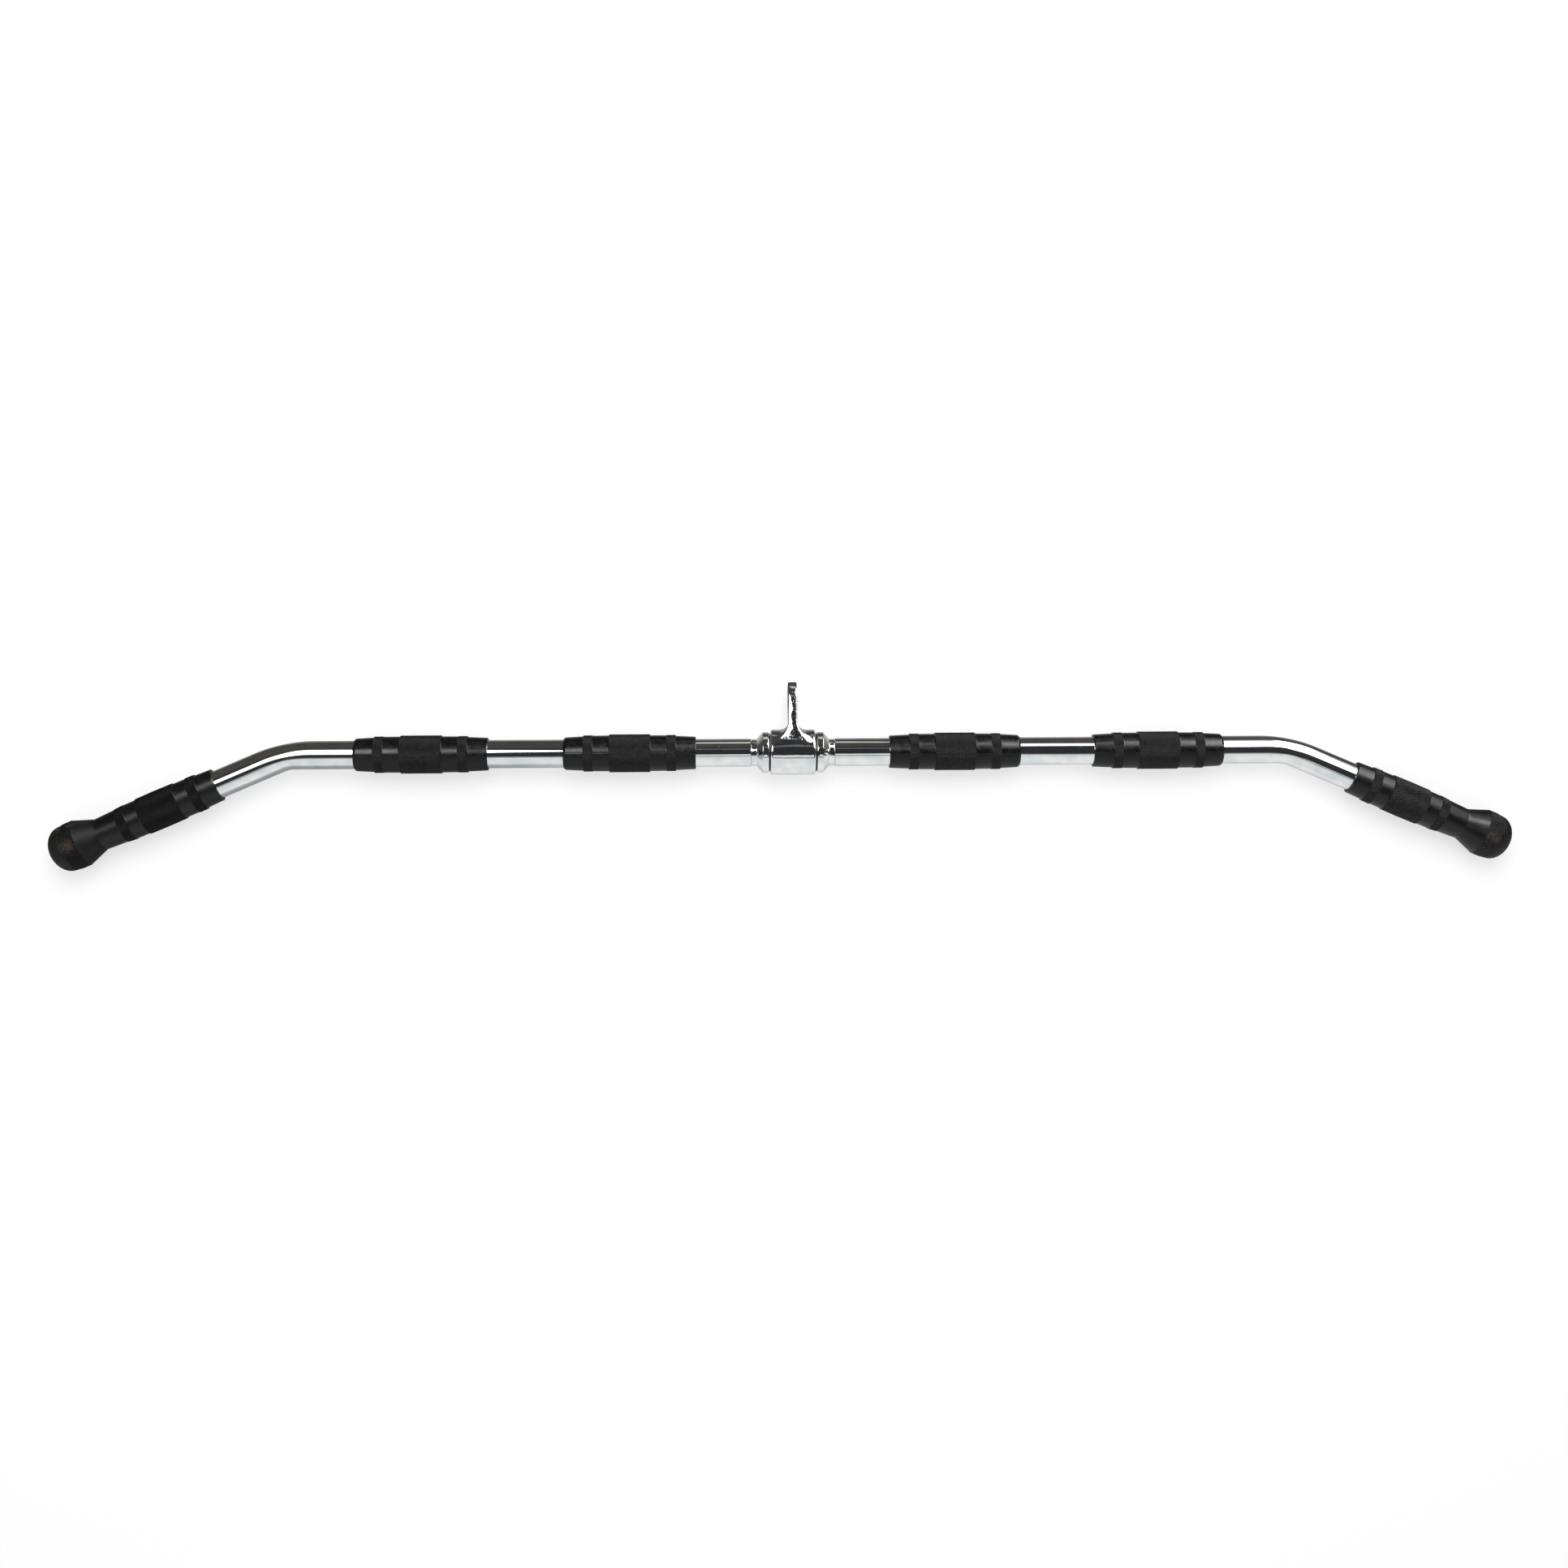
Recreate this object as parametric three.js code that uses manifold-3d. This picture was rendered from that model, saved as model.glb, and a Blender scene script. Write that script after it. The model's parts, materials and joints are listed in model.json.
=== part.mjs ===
// Lat pulldown bar: a chromed tube bar, bent at both ends, with six moulded rubber grips
// and a cast hanger that swivels on a spindle between two collars.
// Millimetres, +Z up. The bar lies flat, as on a bench: X runs along it, the hanger's eye
// points to +Y and the bent ends turn to -Y. The origin is at the middle of its footprint.

import * as THREE from 'three';
import { mergeVertices } from 'three/addons/utils/BufferGeometryUtils.js';
import Module from 'manifold-3d';

const wasm = await Module();
wasm.setup();

// Clearance between two pieces that touch or turn on each other
const fitGap = 0.3;

// Tube: one inch steel tube, bent once on each side
const tubeDiameter = 25.4;
const tubeWall = 2.5;
const bendFromCentre = 452.8;
const bendAngle = THREE.MathUtils.degToRad(23);
const bendRadius = 80;
const bendSteps = 5;

// Spindle that joins the two tubes
const spindleSeatLength = 40;
const spindleChamfer = 1;

// Collars on each side of the hanger, and the nylon washers between them
const collarDiameter = 36.7;
const collarBandLength = 5.5;
const collarConeLength = 5.4;
const collarNeckLength = 5.1;
const collarNeckDiameter = 24.2;
const collarEdgeRound = 0.6;
const washerThickness = 0.8;
const washerDiameter = 34.5;

// Grub screws that hold the collars, from below
const screwDiameter = 3;
const screwRecess = 0.9;
const screwSocketDiameter = 1.6;
const screwSocketDepth = 1.8;

// Hanger: a sleeve with a web that ends in an eye
const sleeveDiameter = 40.5;
const sleeveLength = 40.8;
const sleeveBoreDiameter = 27;
const sleeveEdgeRound = 1.8;
const webThickness = 7.8;
const webRootDiameter = 39;
const webFlareRadius = 6.5;
const eyeDiameter = 33;
const eyeHoleDiameter = 19;
const eyeFromAxis = 47.6;

// Flanged bushes in the ends of the sleeve
const bushLength = 15;
const bushFlangeDiameter = 31;
const bushFlangeThickness = 1.6;

// Straight grips: four alike, two on each side of the hanger
const innerGripFromCentre = 147;
const outerGripFromCentre = 333.1;
const gripCentreBandLength = 36.4;
const gripInnerPlainLength = 15.1;
const gripBandLength = 8.1;
const gripOuterPlainLength = 18;

// Diameters that the straight grips and the end grips share
const gripEndDiameter = 29.5;
const gripShoulderDiameter = 31.2;
const gripBandDiameter = 33;
const gripPlainDiameter = 32.2;
const gripCentreBandDiameter = 34.5;
const gripEdgeRound = 1.6;
const gripStepSlope = 0.5;

// End grips, from the open end by the bend to the knob
const endGripFromBend = 66.1;
const endGripOpenPlainLength = 15.7;
const endGripFirstPlainLength = 12.3;
const endGripCentreBandLength = 35;
const endGripSecondPlainLength = 12.3;
const endGripTaperLength = 20;
const endGripNeckDiameter = 29;
const endGripFlareLength = 18;
const endGripKnobDiameter = 43.2;
const endGripKnobBandLength = 13.4;
const endGripDomeStartDiameter = 42;
const endGripDomeLength = 15.8;
const endGripCapThickness = 8.7;

// Plugs that close the tube ends inside the end grips
const plugHeadThickness = 3;
const plugSpigotLength = 18;
const plugSpigotTaper = 0.8;

// Facets round each kind of turned piece, and along its curves
const tubeSides = 24;
const gripSides = 24;
const collarSides = 36;
const screwSides = 12;
const roundSteps = 3;
const domeSteps = 7;
const flareSteps = 5;
const eyeSteps = 16;

// Worked out from the sizes above
const tubeRadius = tubeDiameter / 2;
const tubeBoreRadius = tubeRadius - tubeWall;
const spindleRadius = tubeBoreRadius - fitGap;
const sleeveEnd = sleeveLength / 2;
const washerStart = sleeveEnd + fitGap;
const collarStart = washerStart + washerThickness + fitGap;
const collarConeStart = collarStart + collarBandLength;
const collarNeckStart = collarConeStart + collarConeLength;
const collarEnd = collarNeckStart + collarNeckLength;
const endGripLength = endGripOpenPlainLength + gripBandLength + endGripFirstPlainLength
  + endGripCentreBandLength + endGripSecondPlainLength + gripBandLength + endGripTaperLength
  + endGripFlareLength + endGripKnobBandLength + endGripDomeLength;
const endGripTip = endGripFromBend + endGripLength;
const endGripPocketEnd = endGripTip - endGripCapThickness;
const plugHeadEnd = endGripPocketEnd - fitGap;
const plugHeadStart = plugHeadEnd - plugHeadThickness;
const tubeEndFromBend = plugHeadStart - fitGap;
const gripBoreRadius = tubeRadius + fitGap;
const axisHeight = endGripKnobDiameter / 2;
const eyeRadius = eyeDiameter / 2;
const restTilt = Math.asin((axisHeight - eyeRadius) / eyeFromAxis);

// Materials
const chrome = new THREE.MeshStandardMaterial({ color: 0xd8dadc, metalness: 1, roughness: 0.08 });
const castChrome = new THREE.MeshStandardMaterial({ color: 0xcfd2d4, metalness: 1, roughness: 0.16 });
const groundSteel = new THREE.MeshStandardMaterial({ color: 0xb4b6b8, metalness: 1, roughness: 0.35 });
const bronze = new THREE.MeshStandardMaterial({ color: 0xa8814a, metalness: 1, roughness: 0.45 });
const blackNylon = new THREE.MeshStandardMaterial({ color: 0x1a1a1b, metalness: 0, roughness: 0.6 });
const rubber = new THREE.MeshStandardMaterial({ color: 0x202021, metalness: 0, roughness: 0.55 });
const blackSteel = new THREE.MeshStandardMaterial({ color: 0x2b2b2d, metalness: 1, roughness: 0.5 });

// A closed outline of [radius, place along the axis] points, turned about the X axis
function turned(points, sides) {
  const outline = points.map(([radius, along]) => new THREE.Vector2(radius, along));
  const geometry = new THREE.LatheGeometry(outline, sides);
  geometry.rotateZ(-Math.PI / 2);
  return geometry;
}

// A ring's outline, closed back to its first point
function closed(points) {
  return [...points, points[0]];
}

// Points on an arc in the outline's plane, both ends included
function arc(radius, along, size, startAngle, endAngle, steps) {
  return Array.from({ length: steps + 1 }, (unused, step) => {
    const angle = startAngle + (endAngle - startAngle) * step / steps;
    return [radius + size * Math.cos(angle), along + size * Math.sin(angle)];
  });
}

function piece(name, geometry, material) {
  const mesh = new THREE.Mesh(geometry, material);
  mesh.name = name;
  return mesh;
}

// A three.js geometry as a solid that can be joined and cut
function solidOf(geometry) {
  const bare = geometry.index ? geometry.toNonIndexed() : geometry.clone();
  bare.deleteAttribute('normal');
  bare.deleteAttribute('uv');
  const merged = mergeVertices(bare);
  const vertProperties = new Float32Array(merged.attributes.position.array);
  const corners = Array.from(merged.index.array);
  const triVerts = [];
  for (let first = 0; first < corners.length; first += 3) {
    const triangle = corners.slice(first, first + 3);
    if (new Set(triangle).size === 3) triVerts.push(...triangle);
  }
  const mesh = new wasm.Mesh({ numProp: 3, vertProperties, triVerts: new Uint32Array(triVerts) });
  return new wasm.Manifold(mesh);
}

function geometryOf(solid) {
  const mesh = solid.getMesh();
  const geometry = new THREE.BufferGeometry();
  geometry.setAttribute('position', new THREE.BufferAttribute(new Float32Array(mesh.vertProperties), 3));
  geometry.setIndex(Array.from(mesh.triVerts));
  geometry.computeVertexNormals();
  return geometry;
}

// The centre line of one tube: straight, one bend, straight. It has places only where the
// tube needs a ring of points, which are its two ends and the steps round the bend.
class BentLine extends THREE.Curve {
  constructor(side) {
    super();
    const tangentLength = bendRadius * Math.tan(bendAngle / 2);
    const bendStart = bendFromCentre - tangentLength;
    this.places = [{ x: collarEnd, y: 0, angle: 0 }];
    for (let step = 0; step <= bendSteps; step += 1) {
      const angle = bendAngle * step / bendSteps;
      const x = bendStart + bendRadius * Math.sin(angle);
      const y = bendRadius * (Math.cos(angle) - 1);
      this.places.push({ x, y, angle });
    }
    const endX = bendFromCentre + tubeEndFromBend * Math.cos(bendAngle);
    const endY = -tubeEndFromBend * Math.sin(bendAngle);
    this.places.push({ x: endX, y: endY, angle: bendAngle });
    this.side = side;
  }

  placeAt(share) {
    return this.places[Math.round(share * (this.places.length - 1))];
  }

  getPointAt(share) {
    const place = this.placeAt(share);
    return new THREE.Vector3(this.side * place.x, place.y, 0);
  }

  getTangentAt(share) {
    const place = this.placeAt(share);
    return new THREE.Vector3(this.side * Math.cos(place.angle), -Math.sin(place.angle), 0);
  }
}

function tubeGeometry(side) {
  const line = new BentLine(side);
  const ring = new THREE.Shape();
  ring.absarc(0, 0, tubeRadius, 0, 2 * Math.PI);
  const bore = new THREE.Path();
  bore.absarc(0, 0, tubeBoreRadius, 0, 2 * Math.PI);
  ring.holes.push(bore);
  return new THREE.ExtrudeGeometry(ring, {
    extrudePath: line,
    steps: line.places.length - 1,
    curveSegments: tubeSides / 2,
    bevelEnabled: false,
  });
}

function spindleGeometry() {
  const end = collarEnd + spindleSeatLength;
  const tipRadius = spindleRadius - spindleChamfer;
  return turned([
    [0, -end],
    [tipRadius, -end],
    [spindleRadius, spindleChamfer - end],
    [spindleRadius, end - spindleChamfer],
    [tipRadius, end],
    [0, end],
  ], collarSides);
}

// A collar on the +X side: a short band, a cone and a neck that meets the tube
function collarGeometry() {
  const radius = collarDiameter / 2;
  const neckRadius = collarNeckDiameter / 2;
  const boreRadius = spindleRadius + fitGap;
  const quarter = Math.PI / 2;
  const edge = radius - collarEdgeRound;
  const ring = turned(closed([
    [boreRadius, collarStart],
    ...arc(edge, collarStart + collarEdgeRound, collarEdgeRound, -quarter, 0, roundSteps),
    [radius, collarConeStart],
    [neckRadius, collarNeckStart],
    [neckRadius, collarEnd],
    [boreRadius, collarEnd],
  ]), collarSides);
  const holeReach = new THREE.Vector3(collarStart + collarBandLength / 2, 0, -(radius + boreRadius) / 2);
  const hole = new THREE.CylinderGeometry(screwDiameter / 2 + fitGap, screwDiameter / 2 + fitGap,
    collarDiameter - boreRadius, screwSides);
  hole.rotateX(Math.PI / 2);
  hole.translate(holeReach.x, holeReach.y, holeReach.z);
  return geometryOf(solidOf(ring).subtract(solidOf(hole)));
}

function washerGeometry() {
  const boreRadius = spindleRadius + fitGap;
  return turned(closed([
    [boreRadius, washerStart],
    [washerDiameter / 2, washerStart],
    [washerDiameter / 2, washerStart + washerThickness],
    [boreRadius, washerStart + washerThickness],
  ]), collarSides);
}

// A grub screw, head end out, along -Z under the collar's band
function screwGeometry() {
  const radius = screwDiameter / 2;
  const socketRadius = screwSocketDiameter / 2;
  const inner = spindleRadius + fitGap;
  const outer = collarDiameter / 2 - screwRecess;
  const outline = [
    [0, inner],
    [radius, inner],
    [radius, outer],
    [socketRadius, outer],
    [socketRadius, outer - screwSocketDepth],
    [0, outer - screwSocketDepth],
  ];
  const geometry = turned(outline, screwSides);
  geometry.rotateY(Math.PI / 2);
  geometry.translate(collarStart + collarBandLength / 2, 0, 0);
  return geometry;
}

// The sleeve, turned, with a bore and a seat for a bush flange in each end
function sleeveGeometry() {
  const radius = sleeveDiameter / 2;
  const boreRadius = sleeveBoreDiameter / 2;
  const seatRadius = bushFlangeDiameter / 2 + fitGap;
  const seat = sleeveEnd - bushFlangeThickness - fitGap;
  const quarter = Math.PI / 2;
  const edge = radius - sleeveEdgeRound;
  const edgeStart = sleeveEnd - sleeveEdgeRound;
  return turned(closed([
    [boreRadius, -seat],
    [seatRadius, -seat],
    [seatRadius, -sleeveEnd],
    ...arc(edge, -edgeStart, sleeveEdgeRound, -quarter, 0, roundSteps),
    ...arc(edge, edgeStart, sleeveEdgeRound, 0, quarter, roundSteps),
    [seatRadius, sleeveEnd],
    [seatRadius, seat],
    [boreRadius, seat],
  ]), collarSides);
}

// The web's two flat sides with the flare that runs out on the sleeve, as a turned disc
function webDiscGeometry() {
  const sleeveRadius = sleeveDiameter / 2;
  const innerRadius = (sleeveRadius + sleeveBoreDiameter / 2) / 2;
  const outerRadius = eyeFromAxis + eyeDiameter;
  const half = webThickness / 2;
  const flareRadius = sleeveRadius + webFlareRadius;
  const foot = half + webFlareRadius;
  const quarter = Math.PI / 2;
  return turned(closed([
    [innerRadius, -foot],
    ...arc(flareRadius, -foot, webFlareRadius, Math.PI, quarter, flareSteps),
    [outerRadius, -half],
    [outerRadius, half],
    ...arc(flareRadius, foot, webFlareRadius, -quarter, -Math.PI, flareSteps),
    [innerRadius, foot],
  ]), collarSides * 2);
}

// The web seen along the bar: from the sleeve's full breadth to the round eye with its hole
function webOutlineGeometry() {
  const rootRadius = webRootDiameter / 2;
  const lean = Math.asin((rootRadius - eyeRadius) / eyeFromAxis);
  const outline = new THREE.Shape();
  outline.moveTo(rootRadius * Math.sin(lean), -rootRadius * Math.cos(lean));
  outline.absarc(eyeFromAxis, 0, eyeRadius, lean - Math.PI / 2, Math.PI / 2 - lean);
  outline.lineTo(rootRadius * Math.sin(lean), rootRadius * Math.cos(lean));
  const hole = new THREE.Path();
  hole.absarc(eyeFromAxis, 0, eyeHoleDiameter / 2, 0, 2 * Math.PI);
  outline.holes.push(hole);
  const geometry = new THREE.ExtrudeGeometry(outline, {
    depth: sleeveLength,
    curveSegments: eyeSteps,
    bevelEnabled: false,
  });
  const [alongBar, outward, upward] = [0, 1, 2].map((axis) => new THREE.Vector3().setComponent(axis, 1));
  geometry.translate(0, 0, -sleeveEnd);
  geometry.applyMatrix4(new THREE.Matrix4().makeBasis(outward, upward, alongBar));
  return geometry;
}

function hangerGeometry() {
  const web = solidOf(webDiscGeometry()).intersect(solidOf(webOutlineGeometry()));
  return geometryOf(solidOf(sleeveGeometry()).add(web));
}

// A bush in the +X end of the sleeve, its flange flush with the sleeve's face
function bushGeometry() {
  const boreRadius = spindleRadius + fitGap;
  const outerRadius = sleeveBoreDiameter / 2 - fitGap;
  const flangeRadius = bushFlangeDiameter / 2;
  const flangeStart = sleeveEnd - bushFlangeThickness;
  return turned(closed([
    [boreRadius, sleeveEnd - bushLength],
    [outerRadius, sleeveEnd - bushLength],
    [outerRadius, flangeStart],
    [flangeRadius, flangeStart],
    [flangeRadius, sleeveEnd],
    [boreRadius, sleeveEnd],
  ]), collarSides);
}

// Outline points of one raised band, from its first edge to its last
function bandPoints(start, length, diameter) {
  const radius = diameter / 2;
  return [
    [radius, start + gripStepSlope / 2],
    [radius, start + length - gripStepSlope / 2],
  ];
}

// Outline points of a smooth stretch between two bands or an end
function plainPoints(start, length, startDiameter, endDiameter) {
  return [
    [startDiameter / 2, start + gripStepSlope / 2],
    [endDiameter / 2, start + length - gripStepSlope / 2],
  ];
}

// A straight grip, centred on its own origin
function straightGripGeometry() {
  const centreEnd = gripCentreBandLength / 2;
  const bandStart = centreEnd + gripInnerPlainLength;
  const bandEnd = bandStart + gripBandLength;
  const end = bandEnd + gripOuterPlainLength;
  const quarter = Math.PI / 2;
  const edge = gripEndDiameter / 2 - gripEdgeRound;
  const half = [
    ...bandPoints(0, centreEnd, gripCentreBandDiameter).slice(1),
    ...plainPoints(centreEnd, gripInnerPlainLength, gripPlainDiameter, gripPlainDiameter),
    ...bandPoints(bandStart, gripBandLength, gripBandDiameter),
    [gripShoulderDiameter / 2, bandEnd + gripStepSlope / 2],
    ...arc(edge, end - gripEdgeRound, gripEdgeRound, 0, quarter, roundSteps),
    [gripBoreRadius, end],
  ];
  const otherHalf = half.map(([radius, along]) => [radius, -along]).reverse();
  return turned(closed([...otherHalf, ...half]), gripSides);
}

// An end grip, measured from the bend: open towards the bend, closed over the tube's end
function endGripGeometry() {
  const firstBand = endGripFromBend + endGripOpenPlainLength;
  const firstPlain = firstBand + gripBandLength;
  const centreBand = firstPlain + endGripFirstPlainLength;
  const secondPlain = centreBand + endGripCentreBandLength;
  const secondBand = secondPlain + endGripSecondPlainLength;
  const taper = secondBand + gripBandLength;
  const neck = taper + endGripTaperLength;
  const knob = neck + endGripFlareLength;
  const dome = knob + endGripKnobBandLength;
  const quarter = Math.PI / 2;
  const edge = gripEndDiameter / 2 - gripEdgeRound;
  const domeRadius = endGripDomeStartDiameter / 2;
  const domeOutline = Array.from({ length: domeSteps }, (unused, step) => {
    const angle = quarter * (step + 1) / domeSteps;
    return [domeRadius * Math.cos(angle), dome + endGripDomeLength * Math.sin(angle)];
  });
  domeOutline[domeSteps - 1][0] = 0;
  return turned([
    [0, endGripPocketEnd],
    [gripBoreRadius, endGripPocketEnd],
    [gripBoreRadius, endGripFromBend],
    ...arc(edge, endGripFromBend + gripEdgeRound, gripEdgeRound, -quarter, 0, roundSteps),
    [gripShoulderDiameter / 2, firstBand - gripStepSlope / 2],
    ...bandPoints(firstBand, gripBandLength, gripBandDiameter),
    ...plainPoints(firstPlain, endGripFirstPlainLength, gripPlainDiameter, gripPlainDiameter),
    ...bandPoints(centreBand, endGripCentreBandLength, gripCentreBandDiameter),
    ...plainPoints(secondPlain, endGripSecondPlainLength, gripPlainDiameter, gripPlainDiameter),
    ...bandPoints(secondBand, gripBandLength, gripBandDiameter),
    [gripShoulderDiameter / 2, taper + gripStepSlope / 2],
    [endGripNeckDiameter / 2, neck],
    [endGripKnobDiameter / 2, knob],
    [domeRadius, dome],
    ...domeOutline,
  ], gripSides);
}

// A plug in the tube's end, measured from the bend
function plugGeometry() {
  const spigotRadius = tubeBoreRadius - fitGap;
  const spigotStart = plugHeadStart - plugSpigotLength;
  return turned([
    [0, spigotStart],
    [spigotRadius - plugSpigotTaper, spigotStart],
    [spigotRadius, plugHeadStart],
    [tubeRadius, plugHeadStart],
    [tubeRadius, plugHeadEnd],
    [0, plugHeadEnd],
  ], tubeSides);
}

// One side's pieces: the +X side as drawn, the -X side turned half round about Z
function addSide(bar, hanger, name, side) {
  bar.add(piece(`${name}_tube`, tubeGeometry(side), chrome));

  const turn = side > 0 ? 0 : Math.PI;
  const straight = new THREE.Group();
  straight.rotation.z = turn;
  straight.add(piece(`${name}_collar`, collarGeometry(), chrome));
  straight.add(piece(`${name}_collar_screw`, screwGeometry(), blackSteel));
  straight.add(piece(`${name}_thrust_washer`, washerGeometry(), blackNylon));
  for (const [place, fromCentre] of [['inner', innerGripFromCentre], ['outer', outerGripFromCentre]]) {
    const grip = piece(`${name}_${place}_grip`, straightGripGeometry(), rubber);
    grip.position.x = fromCentre;
    straight.add(grip);
  }
  bar.add(straight);

  const bent = new THREE.Group();
  bent.position.x = side * bendFromCentre;
  bent.rotation.z = turn - side * bendAngle;
  bent.add(piece(`${name}_end_grip`, endGripGeometry(), rubber));
  bent.add(piece(`${name}_end_plug`, plugGeometry(), blackNylon));
  bar.add(bent);

  const bush = piece(`${name}_bush`, bushGeometry(), bronze);
  bush.rotation.z = turn;
  hanger.add(bush);
}

const latPulldownBar = new THREE.Group();

// The bar rests on its two knobs; the hanger is tilted until its eye lies on the same surface
const bar = new THREE.Group();
const hanger = new THREE.Group();
hanger.rotation.x = -restTilt;
hanger.add(piece('hanger', hangerGeometry(), castChrome));
bar.add(piece('centre_spindle', spindleGeometry(), groundSteel));
addSide(bar, hanger, 'left', -1);
addSide(bar, hanger, 'right', 1);
bar.add(hanger);
latPulldownBar.add(bar);

// Origin in the middle of the footprint, on the surface that the bar lies on
const extent = new THREE.Box3().setFromObject(bar, true);
bar.position.y = -(extent.min.y + extent.max.y) / 2;
bar.position.z = axisHeight;

export default latPulldownBar;
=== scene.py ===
import json
import math

import bmesh
import bpy
import numpy as np
from mathutils import Matrix, Vector


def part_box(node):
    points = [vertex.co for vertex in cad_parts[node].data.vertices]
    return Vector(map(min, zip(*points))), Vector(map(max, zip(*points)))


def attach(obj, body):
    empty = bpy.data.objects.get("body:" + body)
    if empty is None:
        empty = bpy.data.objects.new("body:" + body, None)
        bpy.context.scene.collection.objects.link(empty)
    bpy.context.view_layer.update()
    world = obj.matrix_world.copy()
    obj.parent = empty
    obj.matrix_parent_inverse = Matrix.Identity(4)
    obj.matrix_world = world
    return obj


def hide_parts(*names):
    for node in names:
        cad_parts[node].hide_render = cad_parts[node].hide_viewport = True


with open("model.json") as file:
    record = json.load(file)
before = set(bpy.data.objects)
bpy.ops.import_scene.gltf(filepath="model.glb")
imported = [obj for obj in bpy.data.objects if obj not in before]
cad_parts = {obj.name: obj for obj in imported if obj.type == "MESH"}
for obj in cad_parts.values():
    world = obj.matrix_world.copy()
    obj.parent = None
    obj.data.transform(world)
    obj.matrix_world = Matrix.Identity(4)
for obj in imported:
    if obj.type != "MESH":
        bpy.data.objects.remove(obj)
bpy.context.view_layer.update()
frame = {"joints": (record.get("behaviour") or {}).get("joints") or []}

# Centre spindle: a round bar of ground steel, seated in the bore of both tubes and welded
# there. The hanger's bushes turn on its middle, and its chamfered ends are inside the tubes.
axis = Vector(frame["joints"][0]["pos_m"])
spindle_low, spindle_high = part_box("centre_spindle")
spindle_radius = (spindle_high.z - spindle_low.z) / 2
spindle_chamfer = 0.001
fit_gap = 0.0003
turned_sides = 96
fine_detail = 4
cloud_range = (0.35, 0.65)
haze_range = (0.4, 0.7)
haze_per_cloud = 3
pit_range = (0.58, 0.70)


def node(tree, kind, sockets=None, **settings):
    """One shader node. A socket given another node's output is linked to it."""
    made = tree.nodes.new("ShaderNode" + kind)
    for setting, value in settings.items():
        setattr(made, setting, value)
    for name, value in (sockets or {}).items():
        if isinstance(value, bpy.types.NodeSocket):
            tree.links.new(value, made.inputs[name])
        else:
            made.inputs[name].default_value = value
    return made


def sum_of(tree, operation, *values):
    """The result of a math node."""
    return node(tree, "Math", dict(enumerate(values)), operation=operation).outputs[0]


def rise(tree, value, start, end):
    """0 up to start, 1 from end, smooth between. With start above end it falls instead."""
    sockets = {"Value": value, "From Min": start, "From Max": end}
    return node(tree, "MapRange", sockets, interpolation_type="SMOOTHSTEP").outputs[0]


def mix(tree, share, first, second):
    """A colour between two colours, which are a mix node's sockets 6 and 7."""
    return node(tree, "Mix", {0: share, 6: first, 7: second}, data_type="RGBA").outputs[2]


def grain(tree, place, size, detail=2.0):
    """Noise whose lumps are about that size in metres."""
    return node(tree, "TexNoise", {"Vector": place, "Scale": 1 / size, "Detail": detail}).outputs["Fac"]


def new_material(name):
    """A material with a principled shader: its node tree, that shader and the place on the piece."""
    material = bpy.data.materials.new(name)
    material.use_nodes = True
    tree = material.node_tree
    place = node(tree, "TexCoord").outputs["Object"]
    return material, tree, tree.nodes["Principled BSDF"], place


def bump(tree, shader, heights):
    """Adds up height sockets in metres and bends the shader's normal by them."""
    total = heights[0]
    for height in heights[1:]:
        total = sum_of(tree, "ADD", total, height)
    normal = node(tree, "Bump", {"Height": total, "Distance": 1.0, "Strength": 1.0}).outputs[0]
    tree.links.new(normal, shader.inputs["Normal"])


def metal(name, dark, light, cloud_size, smooth, rough, wave, pits, pitted=None):
    """Metal whose colour clouds between two tones, with a gloss that varies, a long wave in
    its surface and fine pits: wave and pits are each a (size, height) in metres. The pits are
    all over it, or lie apart from each other where the attribute named by pitted is 1."""
    material, tree, shader, place = new_material(name)
    shader.inputs["Metallic"].default_value = 1
    cloud = rise(tree, grain(tree, place, cloud_size), *cloud_range)
    tree.links.new(mix(tree, cloud, (*dark, 1), (*light, 1)), shader.inputs["Base Color"])
    haze = rise(tree, grain(tree, place, cloud_size / haze_per_cloud, fine_detail), *haze_range)
    spread = sum_of(tree, "MULTIPLY_ADD", haze, rough - smooth, smooth)
    tree.links.new(spread, shader.inputs["Roughness"])
    (wave_size, wave_height), (pit_size, pit_height) = wave, pits
    roll = sum_of(tree, "MULTIPLY", grain(tree, place, wave_size), wave_height)
    pit = grain(tree, place, pit_size)
    if pitted:
        where = node(tree, "Attribute", attribute_name=pitted).outputs["Fac"]
        pit = sum_of(tree, "MULTIPLY", rise(tree, pit, *pit_range), where)
    bump(tree, shader, [roll, sum_of(tree, "MULTIPLY", pit, pit_height)])
    return material


def skin(rings, ends):
    """Points and faces over an array of rings. The last ring meets the first where ends is
    "joined", and a point in the middle closes each end where it is "closed"."""
    count, sides = rings.shape[:2]
    points = rings.reshape(-1, 3)
    last = count if ends == "joined" else count - 1
    ring, side = np.meshgrid(np.arange(last), np.arange(sides), indexing="ij")
    after, beside = (ring + 1) % count, (side + 1) % sides
    corners = [ring * sides + side, after * sides + side, after * sides + beside, ring * sides + beside]
    faces = np.stack(corners, axis=-1).reshape(-1, 4).tolist()
    if ends == "closed":
        for end, middle in ((0, len(points)), (count - 1, len(points) + 1)):
            points = np.vstack([points, rings[end].mean(axis=0)])
            faces += [(end * sides + k, end * sides + (k + 1) % sides, middle) for k in range(sides)]
    return points, faces


def turned(outline, ends, side=1, sides=turned_sides):
    """An outline of (place along the bar, radius) points, turned about the bar's axis."""
    angles = np.linspace(0, 2 * math.pi, sides, endpoint=False)
    places = [np.full(sides, side * along) for along, _ in outline]
    rings = [np.stack([place, radius * np.sin(angles), radius * np.cos(angles)], axis=-1)
             for place, (_, radius) in zip(places, outline)]
    return skin(np.array(rings) + np.array(axis), ends)


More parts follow.
